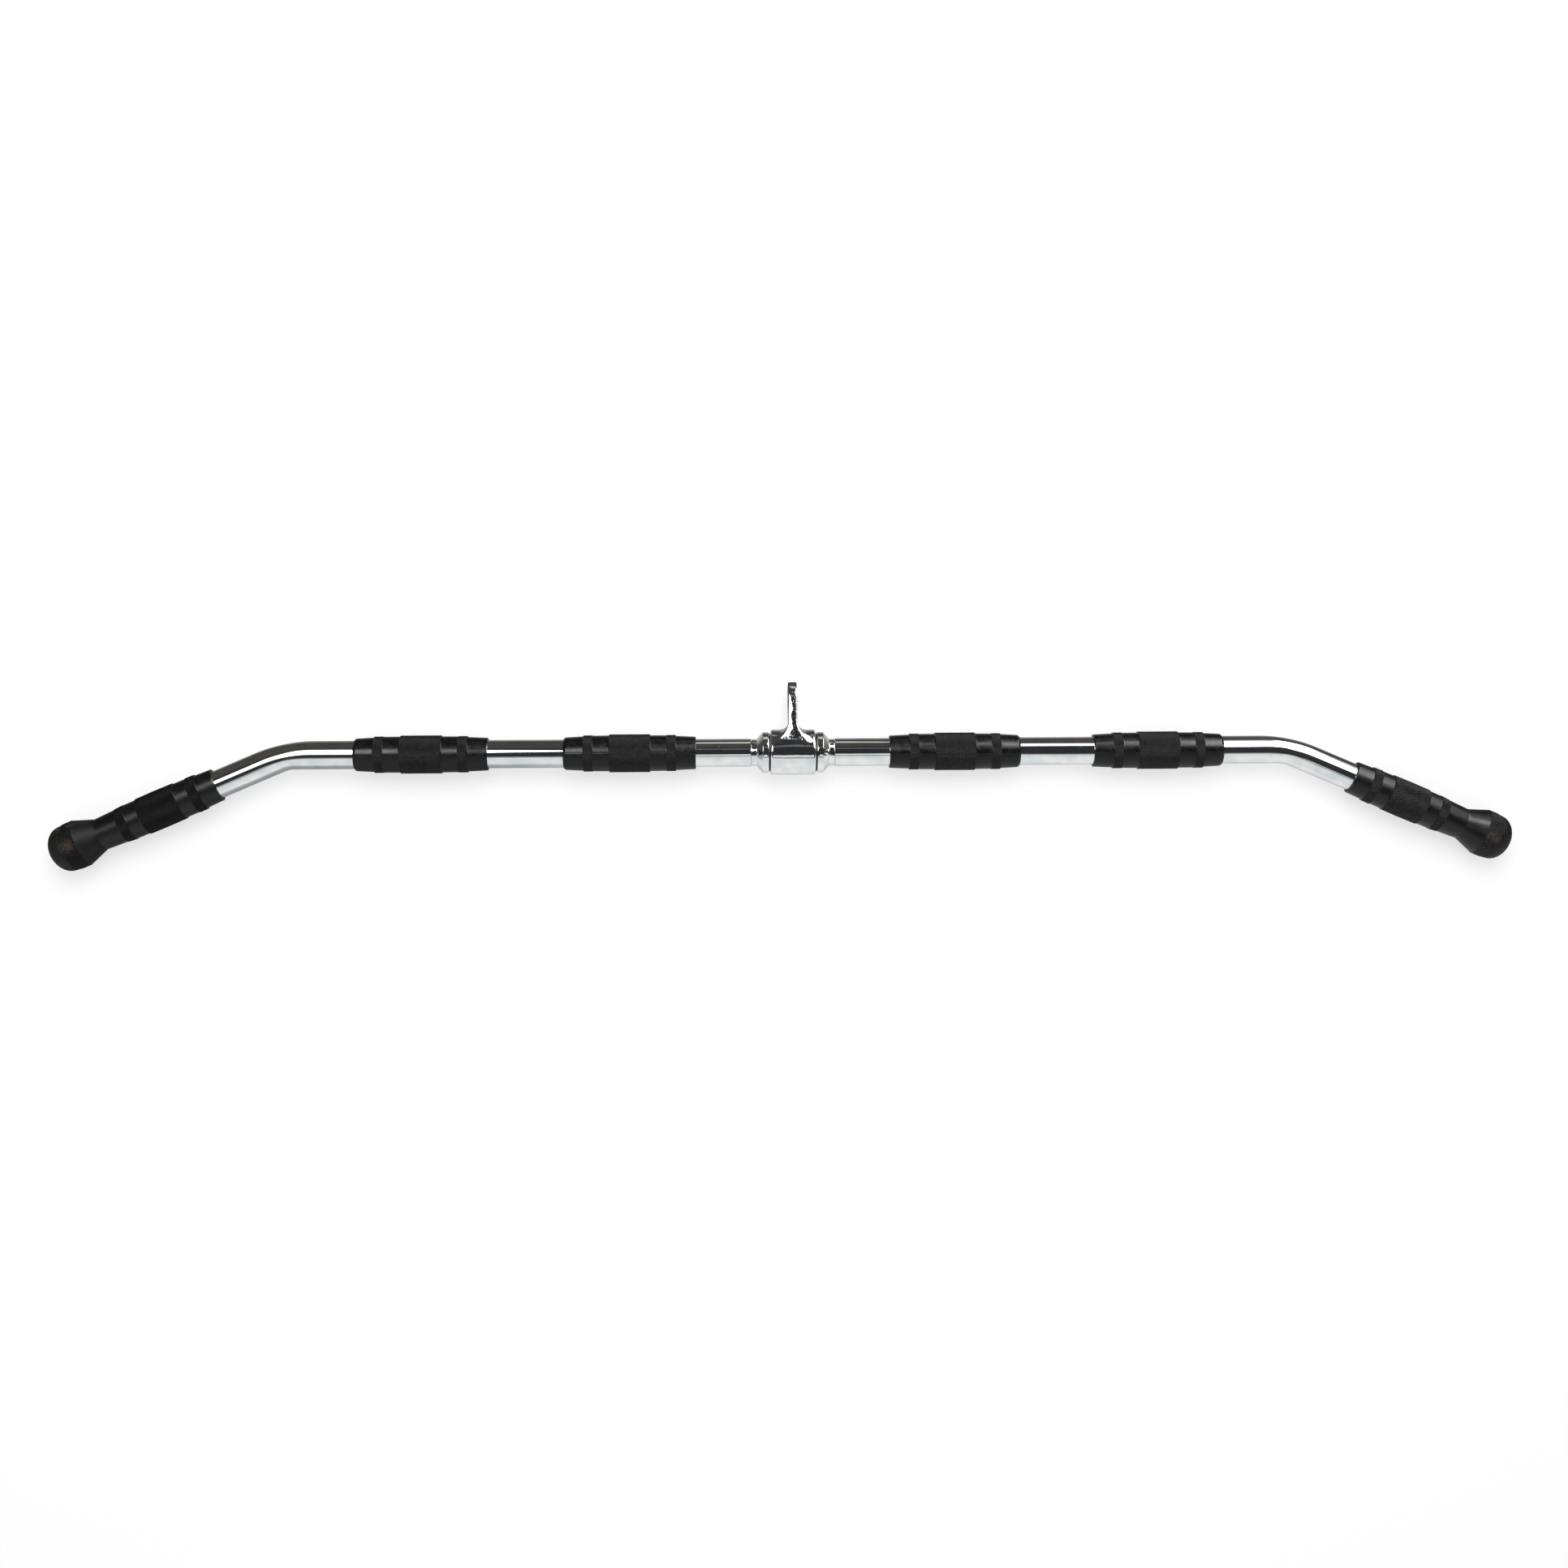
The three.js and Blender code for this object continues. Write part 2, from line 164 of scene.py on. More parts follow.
def rounded(along, radius, size, start, end, steps=6):
    """Outline points on an arc about (along, radius), from one angle to another in degrees."""
    angles = np.radians(np.linspace(start, end, steps + 1))
    return [(along + size * math.cos(a), radius + size * math.sin(a)) for a in angles]


def new_piece(name, points, faces, material, sharp=30):
    """A closed mesh with smooth shading that breaks at edges sharper than that many degrees."""
    mesh = bpy.data.meshes.new(name)
    mesh.from_pydata(np.asarray(points).tolist(), [], faces)
    shell = bmesh.new()
    shell.from_mesh(mesh)
    bmesh.ops.recalc_face_normals(shell, faces=shell.faces)
    shell.to_mesh(mesh)
    shell.free()
    mesh.shade_smooth()
    mesh.set_sharp_from_angle(angle=math.radians(sharp))
    mesh.materials.append(material)
    piece = bpy.data.objects.new(name, mesh)
    bpy.context.scene.collection.objects.link(piece)
    return piece


ground_steel = metal("ground_steel", dark=(0.40, 0.40, 0.41), light=(0.48, 0.48, 0.48),
                     cloud_size=0.004, smooth=0.24, rough=0.36,
                     wave=(0.02, 0.00002), pits=(0.0004, 0.000004))
spindle_end = spindle_high.x
spindle_outline = [
    (-spindle_end, spindle_radius - spindle_chamfer),
    (spindle_chamfer - spindle_end, spindle_radius),
    (spindle_end - spindle_chamfer, spindle_radius),
    (spindle_end, spindle_radius - spindle_chamfer),
]
spindle = new_piece("spindle_ground", *turned(spindle_outline, "closed"), ground_steel)
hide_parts("centre_spindle")
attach(spindle, "bar")

# Hanger: one steel casting, ground, polished by hand and chromed, so its flats roll and its
# edges are soft. A sleeve with a web that ends in an eye; it swivels on the spindle.
sleeve_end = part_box("hanger")[1].x
sleeve_radius = 0.02025
sleeve_edge_round = 0.0018
sleeve_bore_radius = 0.0135
seat_radius = 0.0158
seat_depth = 0.0019
bore_edge_round = 0.0004
web_half = 0.0039
web_root_radius = 0.0195
web_flare = 0.0070
web_flare_growth = 0.0055
web_flare_stretch = 1.5
web_edge_round = 0.0006
web_crown_radius = 0.048
web_crown_from_middle = 0.0008
web_crown_start = -0.003
web_crown_end = 0.008
root_edge_round = 0.002
web_join_round = 0.0012
eye_radius = 0.01648
eye_hole_radius = 0.0095
eye_hole_round = 0.0014
eye_from_axis = 0.0476
cast_strip = 0.0024
cast_root = 0.012
cast_spread = 0.024
cast_end = 0.008
cast_fade = 0.0014
hanger_cell = 0.0005
surface_passes = 5
roll_height = 0.00004
roll_length = 0.011
roll_directions = ((1, 0.6, 0), (-0.5, 0, 0.8), (0, 0.7, 1))
rest_tilt = math.asin((axis.z - eye_radius) / eye_from_axis)


def eased(share):
    """0 below 0, 1 above 1, smooth between."""
    share = np.clip(share, 0, 1)
    return share * share * (3 - 2 * share)


def rounded_cut(first, second, size):
    """Distance to what two shapes share, their common edge rounded."""
    past_first, past_second = np.maximum(first + size, 0), np.maximum(second + size, 0)
    return np.minimum(-size, np.maximum(first, second)) + np.hypot(past_first, past_second)


def filleted_join(first, second, size):
    """Distance to two shapes together, the corner between them filled with a round."""
    short_first, short_second = np.maximum(size - first, 0), np.maximum(size - second, 0)
    return np.maximum(size, np.minimum(first, second)) - np.hypot(short_first, short_second)


def belt(along, across):
    """Distance to the outline of a belt round the sleeve's root circle and the eye."""
    lean = (web_root_radius - eye_radius) / eye_from_axis
    level = math.sqrt(1 - lean * lean)
    across = np.abs(across)
    station = level * along - lean * across
    side = level * across + lean * along - web_root_radius
    root = np.hypot(along, across) - web_root_radius
    tip = np.hypot(along - eye_from_axis, across) - eye_radius
    return np.where(station < 0, root, np.where(station > level * eye_from_axis, tip, side))


def hanger_distance(x, y, z):
    """Distance to the casting, with the spindle's axis as X and the eye towards +Y."""
    around = np.hypot(y, z) - sleeve_radius
    sleeve = rounded_cut(around, np.abs(x) - sleeve_end, sleeve_edge_round)
    flare = web_flare + web_flare_growth * (z / web_root_radius) ** 2
    disc = filleted_join(around, (np.abs(x) - web_half) / web_flare_stretch, flare)
    clear = eased((around - web_crown_start) / (web_crown_end - web_crown_start))
    crowned = belt(y, z) + clear * (x - web_crown_from_middle) ** 2 / (2 * web_crown_radius)
    web = rounded_cut(disc, crowned, root_edge_round + (web_edge_round - root_edge_round) * clear)
    web = np.maximum(web, np.abs(x) - sleeve_end + sleeve_edge_round)
    solid = filleted_join(sleeve, web, web_join_round)
    bore = np.hypot(y, z) - sleeve_bore_radius
    seat = np.maximum(np.hypot(y, z) - seat_radius, sleeve_end - seat_depth - np.abs(x))
    solid = rounded_cut(solid, -np.minimum(bore, seat), bore_edge_round)
    hole = np.hypot(y - eye_from_axis, z) - eye_hole_radius
    solid = rounded_cut(solid, -hole, eye_hole_round)
    turn = 2 * math.pi / roll_length
    first, second, third = (np.sin(turn * (a * x + b * y + c * z)) for a, b, c in roll_directions)
    return solid - roll_height * (first * second + third) / 2


def surface_of(distance, low, high, cell):
    """Points and faces of the surface where a distance is zero, one point in each cell of a
    grid that the surface passes through, moved onto it."""
    lines = [np.arange(low[k], high[k] + cell, cell) for k in range(3)]
    inside = distance(*np.meshgrid(*lines, indexing="ij")) < 0
    cells = [len(line) - 1 for line in lines]
    held = sum(
        inside[i:cells[0] + i, j:cells[1] + j, k:cells[2] + k].astype(int)
        for i in (0, 1) for j in (0, 1) for k in (0, 1)
    )
    crossed = (held > 0) & (held < 8)
    number = np.full(cells, -1)
    number[crossed] = np.arange(crossed.sum())
    points = np.array([line[0] for line in lines]) + cell * (np.argwhere(crossed) + 0.5)
    probe, least_steep = cell / 50, 0.1
    for _ in range(surface_passes):
        value = distance(*points.T)
        slope = np.stack([
            distance(*(points + probe * side).T) - distance(*(points - probe * side).T)
            for side in np.eye(3)
        ], axis=-1) / (2 * probe)
        steep = np.maximum((slope ** 2).sum(axis=1), least_steep)
        points = points - slope * (value / steep)[:, None]
    faces = []
    for along in range(3):
        before = np.take(inside, range(cells[along]), axis=along)
        after = np.take(inside, range(1, cells[along] + 1), axis=along)
        places = np.argwhere(before != after)
        outward = before[before != after]
        second, third = np.eye(3, dtype=int)[(along + 1) % 3], np.eye(3, dtype=int)[(along + 2) % 3]
        corners = [places - second - third, places - third, places, places - second]
        quads = np.stack([number[tuple(corner.T)] for corner in corners], axis=-1)
        quads[~outward] = quads[~outward][:, ::-1]
        faces += quads.tolist()
    return points, faces


cast_chrome = metal("cast_chrome", dark=(0.77, 0.80, 0.81), light=(0.90, 0.89, 0.87),
                    cloud_size=0.009, smooth=0.03, rough=0.075,
                    wave=(0.006, 0.00003), pits=(0.0012, 0.000016), pitted="as_cast")
pad = 2 * hanger_cell
hanger_box = [
    (-sleeve_end - pad, -sleeve_radius - pad, -sleeve_radius - pad),
    (sleeve_end + pad, eye_from_axis + eye_radius + pad, sleeve_radius + pad),
]
hanger_points, hanger_faces = surface_of(hanger_distance, *hanger_box, hanger_cell)
hanger_turn = np.array(Matrix.Rotation(-rest_tilt, 3, "X"))
hanger_places = hanger_points @ hanger_turn.T + np.array(axis)
hanger = new_piece("hanger_casting", hanger_places, hanger_faces, cast_chrome, sharp=60)
across, ahead = np.abs(hanger_points[:, 0] - web_crown_from_middle), hanger_points[:, 1]
at_root = eased((cast_spread - ahead) / (cast_spread - cast_end))
cast_half = cast_strip + (cast_root - cast_strip) * at_root
as_cast = eased((cast_half - across) / cast_fade) * eased((ahead - cast_end) / cast_fade)
hanger.data.attributes.new("as_cast", "FLOAT", "POINT").data.foreach_set("value", as_cast)
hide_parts("hanger")
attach(hanger, "hanger")

# Bushes: sintered bronze, soaked in oil, pressed into the sleeve from both ends until the
# flange is flush with the sleeve's face. Their bore runs on the spindle.
bush_length = 0.015
bush_radius = sleeve_bore_radius - fit_gap
bush_flange_radius = seat_radius - fit_gap
bush_flange_thickness = seat_depth - fit_gap
bush_chamfer = 0.0004
running_radius = spindle_radius + fit_gap

bronze = metal("sintered_bronze", dark=(0.33, 0.19, 0.07), light=(0.50, 0.31, 0.13),
               cloud_size=0.003, smooth=0.34, rough=0.5,
               wave=(0.004, 0.00001), pits=(0.0005, 0.00003))
bush_start = sleeve_end - bush_length
bush_flange_start = sleeve_end - bush_flange_thickness
bush_outline = [
    (bush_start, running_radius + bush_chamfer),
    (bush_start, bush_radius - bush_chamfer),
    (bush_start + bush_chamfer, bush_radius),
    (bush_flange_start, bush_radius),
    (bush_flange_start, bush_flange_radius),
    (sleeve_end - bush_chamfer, bush_flange_radius),
    (sleeve_end, bush_flange_radius - bush_chamfer),
    (sleeve_end, running_radius + bush_chamfer),
    (sleeve_end - bush_chamfer, running_radius),
    (bush_start + bush_chamfer, running_radius),
]
sides_of_bar = (("left", -1), ("right", 1))
for name, side in sides_of_bar:
    bush = new_piece(f"{name}_bush_sintered", *turned(bush_outline, "joined", side), bronze)
    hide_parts(f"{name}_bush")
    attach(bush, "hanger")

# Thrust washers: thin discs of black nylon, loose on the spindle between the sleeve and each
# collar. From outside each is only a dark line.
washer_low, washer_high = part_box("right_thrust_washer")
washer_radius = (washer_high.z - washer_low.z) / 2
washer_edge = 0.0002
nylon_dark = (0.010, 0.010, 0.011, 1)
nylon_light = (0.020, 0.020, 0.020, 1)
nylon_smooth = 0.45
nylon_rough = 0.65
nylon_speckle = 0.0012
nylon_speckle_detail = 3
nylon_speckle_range = (0.4, 0.7)
nylon_grain = 0.0005
nylon_grain_height = 0.00001

black_nylon, tree, shader, place = new_material("black_nylon")
speckle = rise(tree, grain(tree, place, nylon_speckle, nylon_speckle_detail), *nylon_speckle_range)
tree.links.new(mix(tree, speckle, nylon_dark, nylon_light), shader.inputs["Base Color"])
spread = sum_of(tree, "MULTIPLY_ADD", speckle, nylon_rough - nylon_smooth, nylon_smooth)
tree.links.new(spread, shader.inputs["Roughness"])
bump(tree, shader, [sum_of(tree, "MULTIPLY", grain(tree, place, nylon_grain), nylon_grain_height)])
washer_outline = [
    (washer_low.x, running_radius),
    (washer_low.x, washer_radius - washer_edge),
    (washer_low.x + washer_edge, washer_radius),
    (washer_high.x - washer_edge, washer_radius),
    (washer_high.x, washer_radius - washer_edge),
    (washer_high.x, running_radius),
]
for name, side in sides_of_bar:
    washer = new_piece(f"{name}_washer_cut", *turned(washer_outline, "joined", side), black_nylon)
    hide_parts(f"{name}_thrust_washer")
    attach(washer, "bar")

# Collars: turned from steel bar, polished and chromed: a short band, a cone and a neck that
# meets the tube. A tapped hole in the band, underneath, takes the screw.
collar_low, collar_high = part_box("right_collar")
collar_radius = (collar_high.z - collar_low.z) / 2
collar_band_length = 0.0055
collar_cone_length = 0.0054
collar_neck_radius = 0.0121
collar_edge_round = 0.0006
collar_neck_round = 0.0008
screw_hole_radius = 0.0018
screw_hole_sides = 32
screw_hole_levels = (running_radius / 2, collar_radius * 1.1)

chrome = metal("bright_chrome", dark=(0.77, 0.80, 0.81), light=(0.90, 0.895, 0.88),
               cloud_size=0.014, smooth=0.025, rough=0.06,
               wave=(0.02, 0.00002), pits=(0.0012, 0.0000012))
cone_start = collar_low.x + collar_band_length
neck_start = cone_start + collar_cone_length
cone_slope = math.degrees(math.atan2(collar_radius - collar_neck_radius, collar_cone_length))
ease = collar_neck_round * math.tan(math.radians(cone_slope / 2))
crest = collar_edge_round * math.tan(math.radians(cone_slope / 2))
band_edge = collar_radius - collar_edge_round
collar_outline = [
    (collar_low.x, running_radius),
    *rounded(collar_low.x + collar_edge_round, band_edge, collar_edge_round, 180, 90),
    *rounded(cone_start - crest, band_edge, collar_edge_round, 90, 90 - cone_slope),
    *rounded(neck_start + ease, collar_neck_radius + collar_neck_round, collar_neck_round,
             270 - cone_slope, 270),
    *rounded(collar_high.x - collar_edge_round, collar_neck_radius - collar_edge_round,
             collar_edge_round, 90, 45, 3),
    (collar_high.x, running_radius),
]
screw_x = collar_low.x + collar_band_length / 2


def cut_through(piece, cutter):
    """Takes the cutter's shape out of a piece, and the cutter away."""
    cut = piece.modifiers.new("cut", "BOOLEAN")
    cut.operation = "DIFFERENCE"
    cut.solver = "EXACT"
    cut.object = cutter
    bpy.context.view_layer.update()
    solid = piece.evaluated_get(bpy.context.evaluated_depsgraph_get())
    mesh = bpy.data.meshes.new_from_object(solid)
    mesh.name = piece.name
    piece.modifiers.clear()
    piece.data = mesh
    bpy.data.objects.remove(cutter)


def upright(x, height, ring, spots):
    """Points of one ring round a vertical line under the bar's axis."""
    return np.stack([x + ring * spots[0], np.full(len(spots[0]), axis.y) + ring * spots[1],
                     np.full(len(spots[0]), axis.z - height)], axis=-1)


hole_angles = np.linspace(0, 2 * math.pi, screw_hole_sides, endpoint=False)
hole_spots = (np.cos(hole_angles), np.sin(hole_angles))
for name, side in sides_of_bar:
    collar_skin = turned(collar_outline, "joined", side)
    collar = new_piece(f"{name}_collar_turned", *collar_skin, chrome, sharp=35)
    hole_rings = np.array([
        upright(side * screw_x, height, screw_hole_radius, hole_spots) for height in screw_hole_levels
    ])
    hole = new_piece("hole", *skin(hole_rings, "closed"), chrome)
    cut_through(collar, hole)
    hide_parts(f"{name}_collar")
    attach(collar, "bar")

# Collar screws: small black steel grub screws with a hexagon socket, driven from below
# until they bear on the spindle.
screw_radius = 0.0015
screw_point_radius = 0.00075
screw_recess = 0.0009
screw_socket_across = 0.0016
screw_socket_depth = 0.0018
screw_chamfer = 0.0003
screw_point_length = 0.0008

black_steel = metal("black_steel", dark=(0.030, 0.030, 0.032), light=(0.055, 0.054, 0.052),
                    cloud_size=0.002, smooth=0.35, rough=0.5,
                    wave=(0.002, 0.000004), pits=(0.0003, 0.000004))
screw_outer = collar_radius - screw_recess
screw_inner = spindle_radius + fit_gap
sixth = math.pi / 3
socket_reach = screw_socket_across / 2 / np.cos((hole_angles + sixth / 2) % sixth - sixth / 2)
screw_levels = [
    (screw_inner, screw_point_radius),
    (screw_inner + screw_point_length, screw_radius),
    (screw_outer - screw_chamfer, screw_radius),
    (screw_outer, screw_radius - screw_chamfer),
    (screw_outer, socket_reach),
    (screw_outer - screw_socket_depth, socket_reach),
]
for name, side in sides_of_bar:
    screw_rings = np.array([
        upright(side * screw_x, height, reach, hole_spots) for height, reach in screw_levels
    ])
    screw = new_piece(f"{name}_screw_socketed", *skin(screw_rings, "closed"), black_steel)
    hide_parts(f"{name}_collar_screw")
    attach(screw, "bar")

# Tubes: one inch steel tube, bent cold on a press, polished lengthwise and chromed. Pressing
# draws the inside of the bend to a kink and lets the outside run round in a long arc.
tube_radius = 0.0127
tube_wall = 0.0025
tube_end_round = 0.0005
bend_from_centre = 0.4528
bend_angle = math.radians(23)
bend_reach = 0.036
bend_outer_radius = 0.138
bend_inner_radius = 0.022
bend_top_radius = 0.11
bend_heightening = 0.1
bend_rings = 25
end_grip_from_bend = 0.0661
end_grip_lengths = {
    "open_plain": 0.0157,
    "first_band": 0.0081,
    "first_plain": 0.0123,
    "centre_band": 0.035,
    "second_plain": 0.0123,
    "second_band": 0.0081,
    "taper": 0.02,
    "flare": 0.018,
    "knob_band": 0.0134,
    "dome": 0.0157,
}
end_cap_thickness = 0.0086
plug_head_thickness = 0.003
end_grip_tip = end_grip_from_bend + sum(end_grip_lengths.values())
pocket_end = end_grip_tip - end_cap_thickness
plug_head_end = pocket_end - fit_gap
plug_head_start = plug_head_end - plug_head_thickness
tube_end_from_bend = plug_head_start - fit_gap


def past_corner(offset, radius, share):
    """A place beside a rounded corner, and the share runs from -1 to 1 over the bend's reach.
    The corner is at zero, and the line comes along X and leaves turned down by the bend."""
    half_turn = bend_angle / 2
    corner = np.array([offset * math.tan(half_turn), offset])
    run_in = radius * math.tan(half_turn)
    straight = bend_reach + offset * math.tan(half_turn) - run_in
    travel = abs(share) * (straight + radius * half_turn)
    turn = min(travel / radius, half_turn)
    past = max(travel - radius * half_turn, 0)
    bisector = np.array([math.sin(half_turn), math.cos(half_turn)])
    along = np.array([math.cos(half_turn), -math.sin(half_turn)])
    centre = corner - bisector * radius / math.cos(half_turn)
    spot = centre + radius * (math.cos(turn) * bisector + math.sin(turn) * along)
    spot = spot + past * (math.cos(turn) * along - math.sin(turn) * bisector)
    if share < 0:
        mirrored = spot - corner
        mirrored = mirrored - 2 * (mirrored @ along) * along
        spot = corner + mirrored
    return spot


def tube_sections():
    """Along the +X tube: top line, in-plane direction, in-plane radius, upright radius, and how
    far the sides are moved from that line where the bend is tighter inside than outside."""
    sections = []
    for share in np.linspace(-1, 1, bend_rings):
        outer = past_corner(tube_radius, bend_outer_radius, share)
        inner = past_corner(-tube_radius, bend_inner_radius, share)
        across = outer - inner
        width = np.linalg.norm(across) / 2
        upright_radius = tube_radius + (tube_radius - width) * bend_heightening
        top_line = past_corner(0, bend_top_radius, share)
        bulge = (outer + inner) / 2 - top_line
        sections.append((top_line, across / (2 * width), width, upright_radius, bulge))
    start = np.array([collar_high.x - bend_from_centre, 0])
    end = tube_end_from_bend * np.array([math.cos(bend_angle), -math.sin(bend_angle)])
    plain = (tube_radius, tube_radius, np.zeros(2))
    first = (start, np.array([0, 1]), *plain)
    last = (end, np.array([math.sin(bend_angle), math.cos(bend_angle)]), *plain)
    return [first, *sections, last]


def tube_ring(side, section, inset, along=0):
    """One ring of a section, drawn in by an inset and moved along the tube."""
    centre, across, width, height, bulge = section
    ahead = np.array([across[1], -across[0]])
    angles = np.linspace(0, 2 * math.pi, turned_sides, endpoint=False)
    flat = centre + ahead * along + np.outer((width - inset) * np.sin(angles), across)
    flat = flat + np.outer(np.sin(angles) ** 2, bulge)
    x = axis.x + side * (bend_from_centre + flat[:, 0])
    return np.stack([x, axis.y + flat[:, 1], axis.z + (height - inset) * np.cos(angles)], axis=-1)


sections = tube_sections()
for name, side in sides_of_bar:
    rings = [tube_ring(side, sections[0], tube_end_round)]
    rings.append(tube_ring(side, sections[0], 0, tube_end_round))
    rings += [tube_ring(side, section, 0) for section in sections[1:-1]]
    rings.append(tube_ring(side, sections[-1], 0, -tube_end_round))
    rings.append(tube_ring(side, sections[-1], tube_end_round))
    rings += [tube_ring(side, section, tube_wall) for section in sections[::-1]]
    tube = new_piece(f"{name}_tube_chromed", *skin(np.array(rings), "joined"), chrome)
    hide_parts(f"{name}_tube")
    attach(tube, "bar")

# End plugs: black nylon, driven into the tube's ends, with two barbs that grip the bore.
# They keep the tube's edge from cutting through the grips' rubber ends.
plug_spigot_length = 0.018
plug_taper = 0.0008
plug_barb_height = 0.0004
plug_barb_shares = (0.35, 0.7)
plug_edge = 0.0004


def bent_rings(side, outline, angles):
    """Rings of an outline of (distance past the bend, radius) points round the bent end's
    line. Angle zero is on top, and turns towards the side that the hanger's eye is on."""
    ahead = np.array([side * math.cos(bend_angle), -math.sin(bend_angle), 0])
    across = np.array([side * math.sin(bend_angle), math.cos(bend_angle), 0])
    corner = np.array(axis) + np.array([side * bend_from_centre, 0, 0])
    rings = []
    for along, radius in outline:
        rings.append(corner + along * ahead + np.outer(radius * np.sin(angles), across))
        rings[-1][:, 2] += radius * np.cos(angles)
    return np.array(rings)


spigot_radius = tube_radius - tube_wall - fit_gap
spigot_start = plug_head_start - plug_spigot_length
plug_outline = [(spigot_start, spigot_radius - plug_taper)]
for share in plug_barb_shares:
    barb = spigot_start + share * plug_spigot_length
    plug_outline += [
        (barb - plug_edge, spigot_radius - plug_barb_height),
        (barb, spigot_radius),
        (barb + plug_edge, spigot_radius),
        (barb + plug_edge, spigot_radius - plug_barb_height),
    ]
plug_outline += [
    (plug_head_start, spigot_radius - plug_barb_height),
    (plug_head_start, tube_radius - plug_edge),
    (plug_head_start + plug_edge, tube_radius),
    (plug_head_end - plug_edge, tube_radius),
    (plug_head_end, tube_radius - plug_edge),
]
plug_angles = np.linspace(0, 2 * math.pi, turned_sides, endpoint=False)
for name, side in sides_of_bar:
    plug_rings = bent_rings(side, plug_outline, plug_angles)
    plug = new_piece(f"{name}_plug_barbed", *skin(plug_rings, "closed"), black_nylon)
    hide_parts(f"{name}_end_plug")
    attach(plug, "bar")

# Straight grips: black rubber, moulded round the tube, with three knurled bands. The mould's
# two halves leave a thin line along each grip, near its top: one half was polished, the other
# left dull. A small pit beside the line is where the rubber was let in.
grip_from_centre = {"inner": 0.147, "outer": 0.3331}
grip_bore_radius = tube_radius + fit_gap
grip_centre_band = 0.0364
grip_inner_plain = 0.0151
grip_band = 0.0081
grip_outer_plain = 0.018
grip_end_radius = 0.01475
grip_shoulder_radius = 0.0155
grip_band_radius = 0.01645
grip_plain_radius = 0.0161
grip_beside_radius = 0.0162
grip_centre_radius = 0.0172
grip_outer_round = 0.003
grip_outer_round_from_end = 0.0033
grip_outer_round_end = 36
grip_inner_round = 0.0004
grip_band_fillet = 0.0003
grip_centre_fillet = 0.0006
grip_hold = 0.0005
grip_fillet_steps = 3
knurl_pitch = 0.0032
knurl_depth = 0.00036
knurl_columns = 58
parting_turns = {
    "left_outer": math.radians(-8.9),
    "left_inner": math.radians(-2.5),
    "right_inner": math.radians(-8.3),
    "right_outer": math.radians(-6.9),
    "left_end": math.radians(-90),
    "right_end": math.radians(-90),
}
parting_half_width = 0.0002
parting_height = 0.00005
gate_spots = {"left_outer": -0.0234, "left_inner": -0.0251, "right_inner": -0.0316}
gate_radius = 0.0011
gate_floor_share = 0.6
gate_depth = 0.0006
no_gate = 1.0
bloom_size = 0.006
bloom_range = (0.35, 0.7)
scuff_size = 0.0018
scuff_range = (0.36, 0.54)
scuff_tone = (0.028, 0.025, 0.022, 1)
crown_range = (0.35, 0.75)
handled_size = 0.004
handled_detail = 3
handled_range = (0.3, 0.7)
least_handled = 0.5
dust_tone = (0.120, 0.092, 0.068, 1)
dust_in_cuts = 0.3
rubber_grain = 0.0006
rubber_grain_height = 0.000012
wear_reach = 1.6


def moulded_rubber(name, low, high, smooth, rough, specular, crown=None):
    """Black rubber with a bloom that varies its tone from low to high and its roughness from
    smooth to rough, and a pit at the gate. Where it is knurled, the crowns are painted a paler
    tone, crown: partly wear from hands, partly a painted highlight. Worn ones are brown with dust."""
    material, tree, shader, place = new_material(name)
    shader.inputs["Specular IOR Level"].default_value = specular
    past_gate = node(tree, "Attribute", attribute_name="past_gate").outputs["Fac"]
    off_line = node(tree, "Attribute", attribute_name="off_line").outputs["Fac"]
    wear = node(tree, "Attribute", attribute_name="wear").outputs["Fac"]
    bloom = rise(tree, grain(tree, place, bloom_size, fine_detail), *bloom_range)
    colour = mix(tree, bloom, (low, low, low * 1.04, 1), (high, high, high * 1.02, 1))
    patches = rise(tree, grain(tree, place, scuff_size, fine_detail), *scuff_range)
    scuff = sum_of(tree, "MULTIPLY", wear, patches)
    # Paler crowns: partly wear from hands, partly a painted highlight for the light the crowns catch,
    # which leaves the cuts darker as painted shade.
    if crown:
        height = rise(tree, node(tree, "Attribute", attribute_name="crown").outputs["Fac"], *crown_range)
        touched = rise(tree, grain(tree, place, handled_size, handled_detail), *handled_range)
        touched = sum_of(tree, "MULTIPLY_ADD", touched, 1 - least_handled, least_handled)
        worn_and_painted_highlight = sum_of(tree, "MULTIPLY", height, touched)
        colour = mix(tree, worn_and_painted_highlight, colour, (crown, crown, crown, 1))
        settled = sum_of(tree, "MULTIPLY_ADD", height, 1 - dust_in_cuts, dust_in_cuts)
        colour = mix(tree, sum_of(tree, "MULTIPLY", scuff, settled), colour, dust_tone)
    else:
        colour = mix(tree, scuff, colour, scuff_tone)
    tree.links.new(colour, shader.inputs["Base Color"])
    spread = sum_of(tree, "MULTIPLY_ADD", bloom, rough - smooth, smooth)
    tree.links.new(spread, shader.inputs["Roughness"])
    squares = [sum_of(tree, "MULTIPLY", part, part) for part in (past_gate, off_line)]
    from_gate = sum_of(tree, "SQRT", sum_of(tree, "ADD", *squares))
    pit = rise(tree, from_gate, gate_radius, gate_radius * gate_floor_share)
    pit = sum_of(tree, "MULTIPLY", pit, -gate_depth)
    skin_grain = sum_of(tree, "MULTIPLY", grain(tree, place, rubber_grain), rubber_grain_height)
    bump(tree, shader, [skin_grain, pit])
    return material
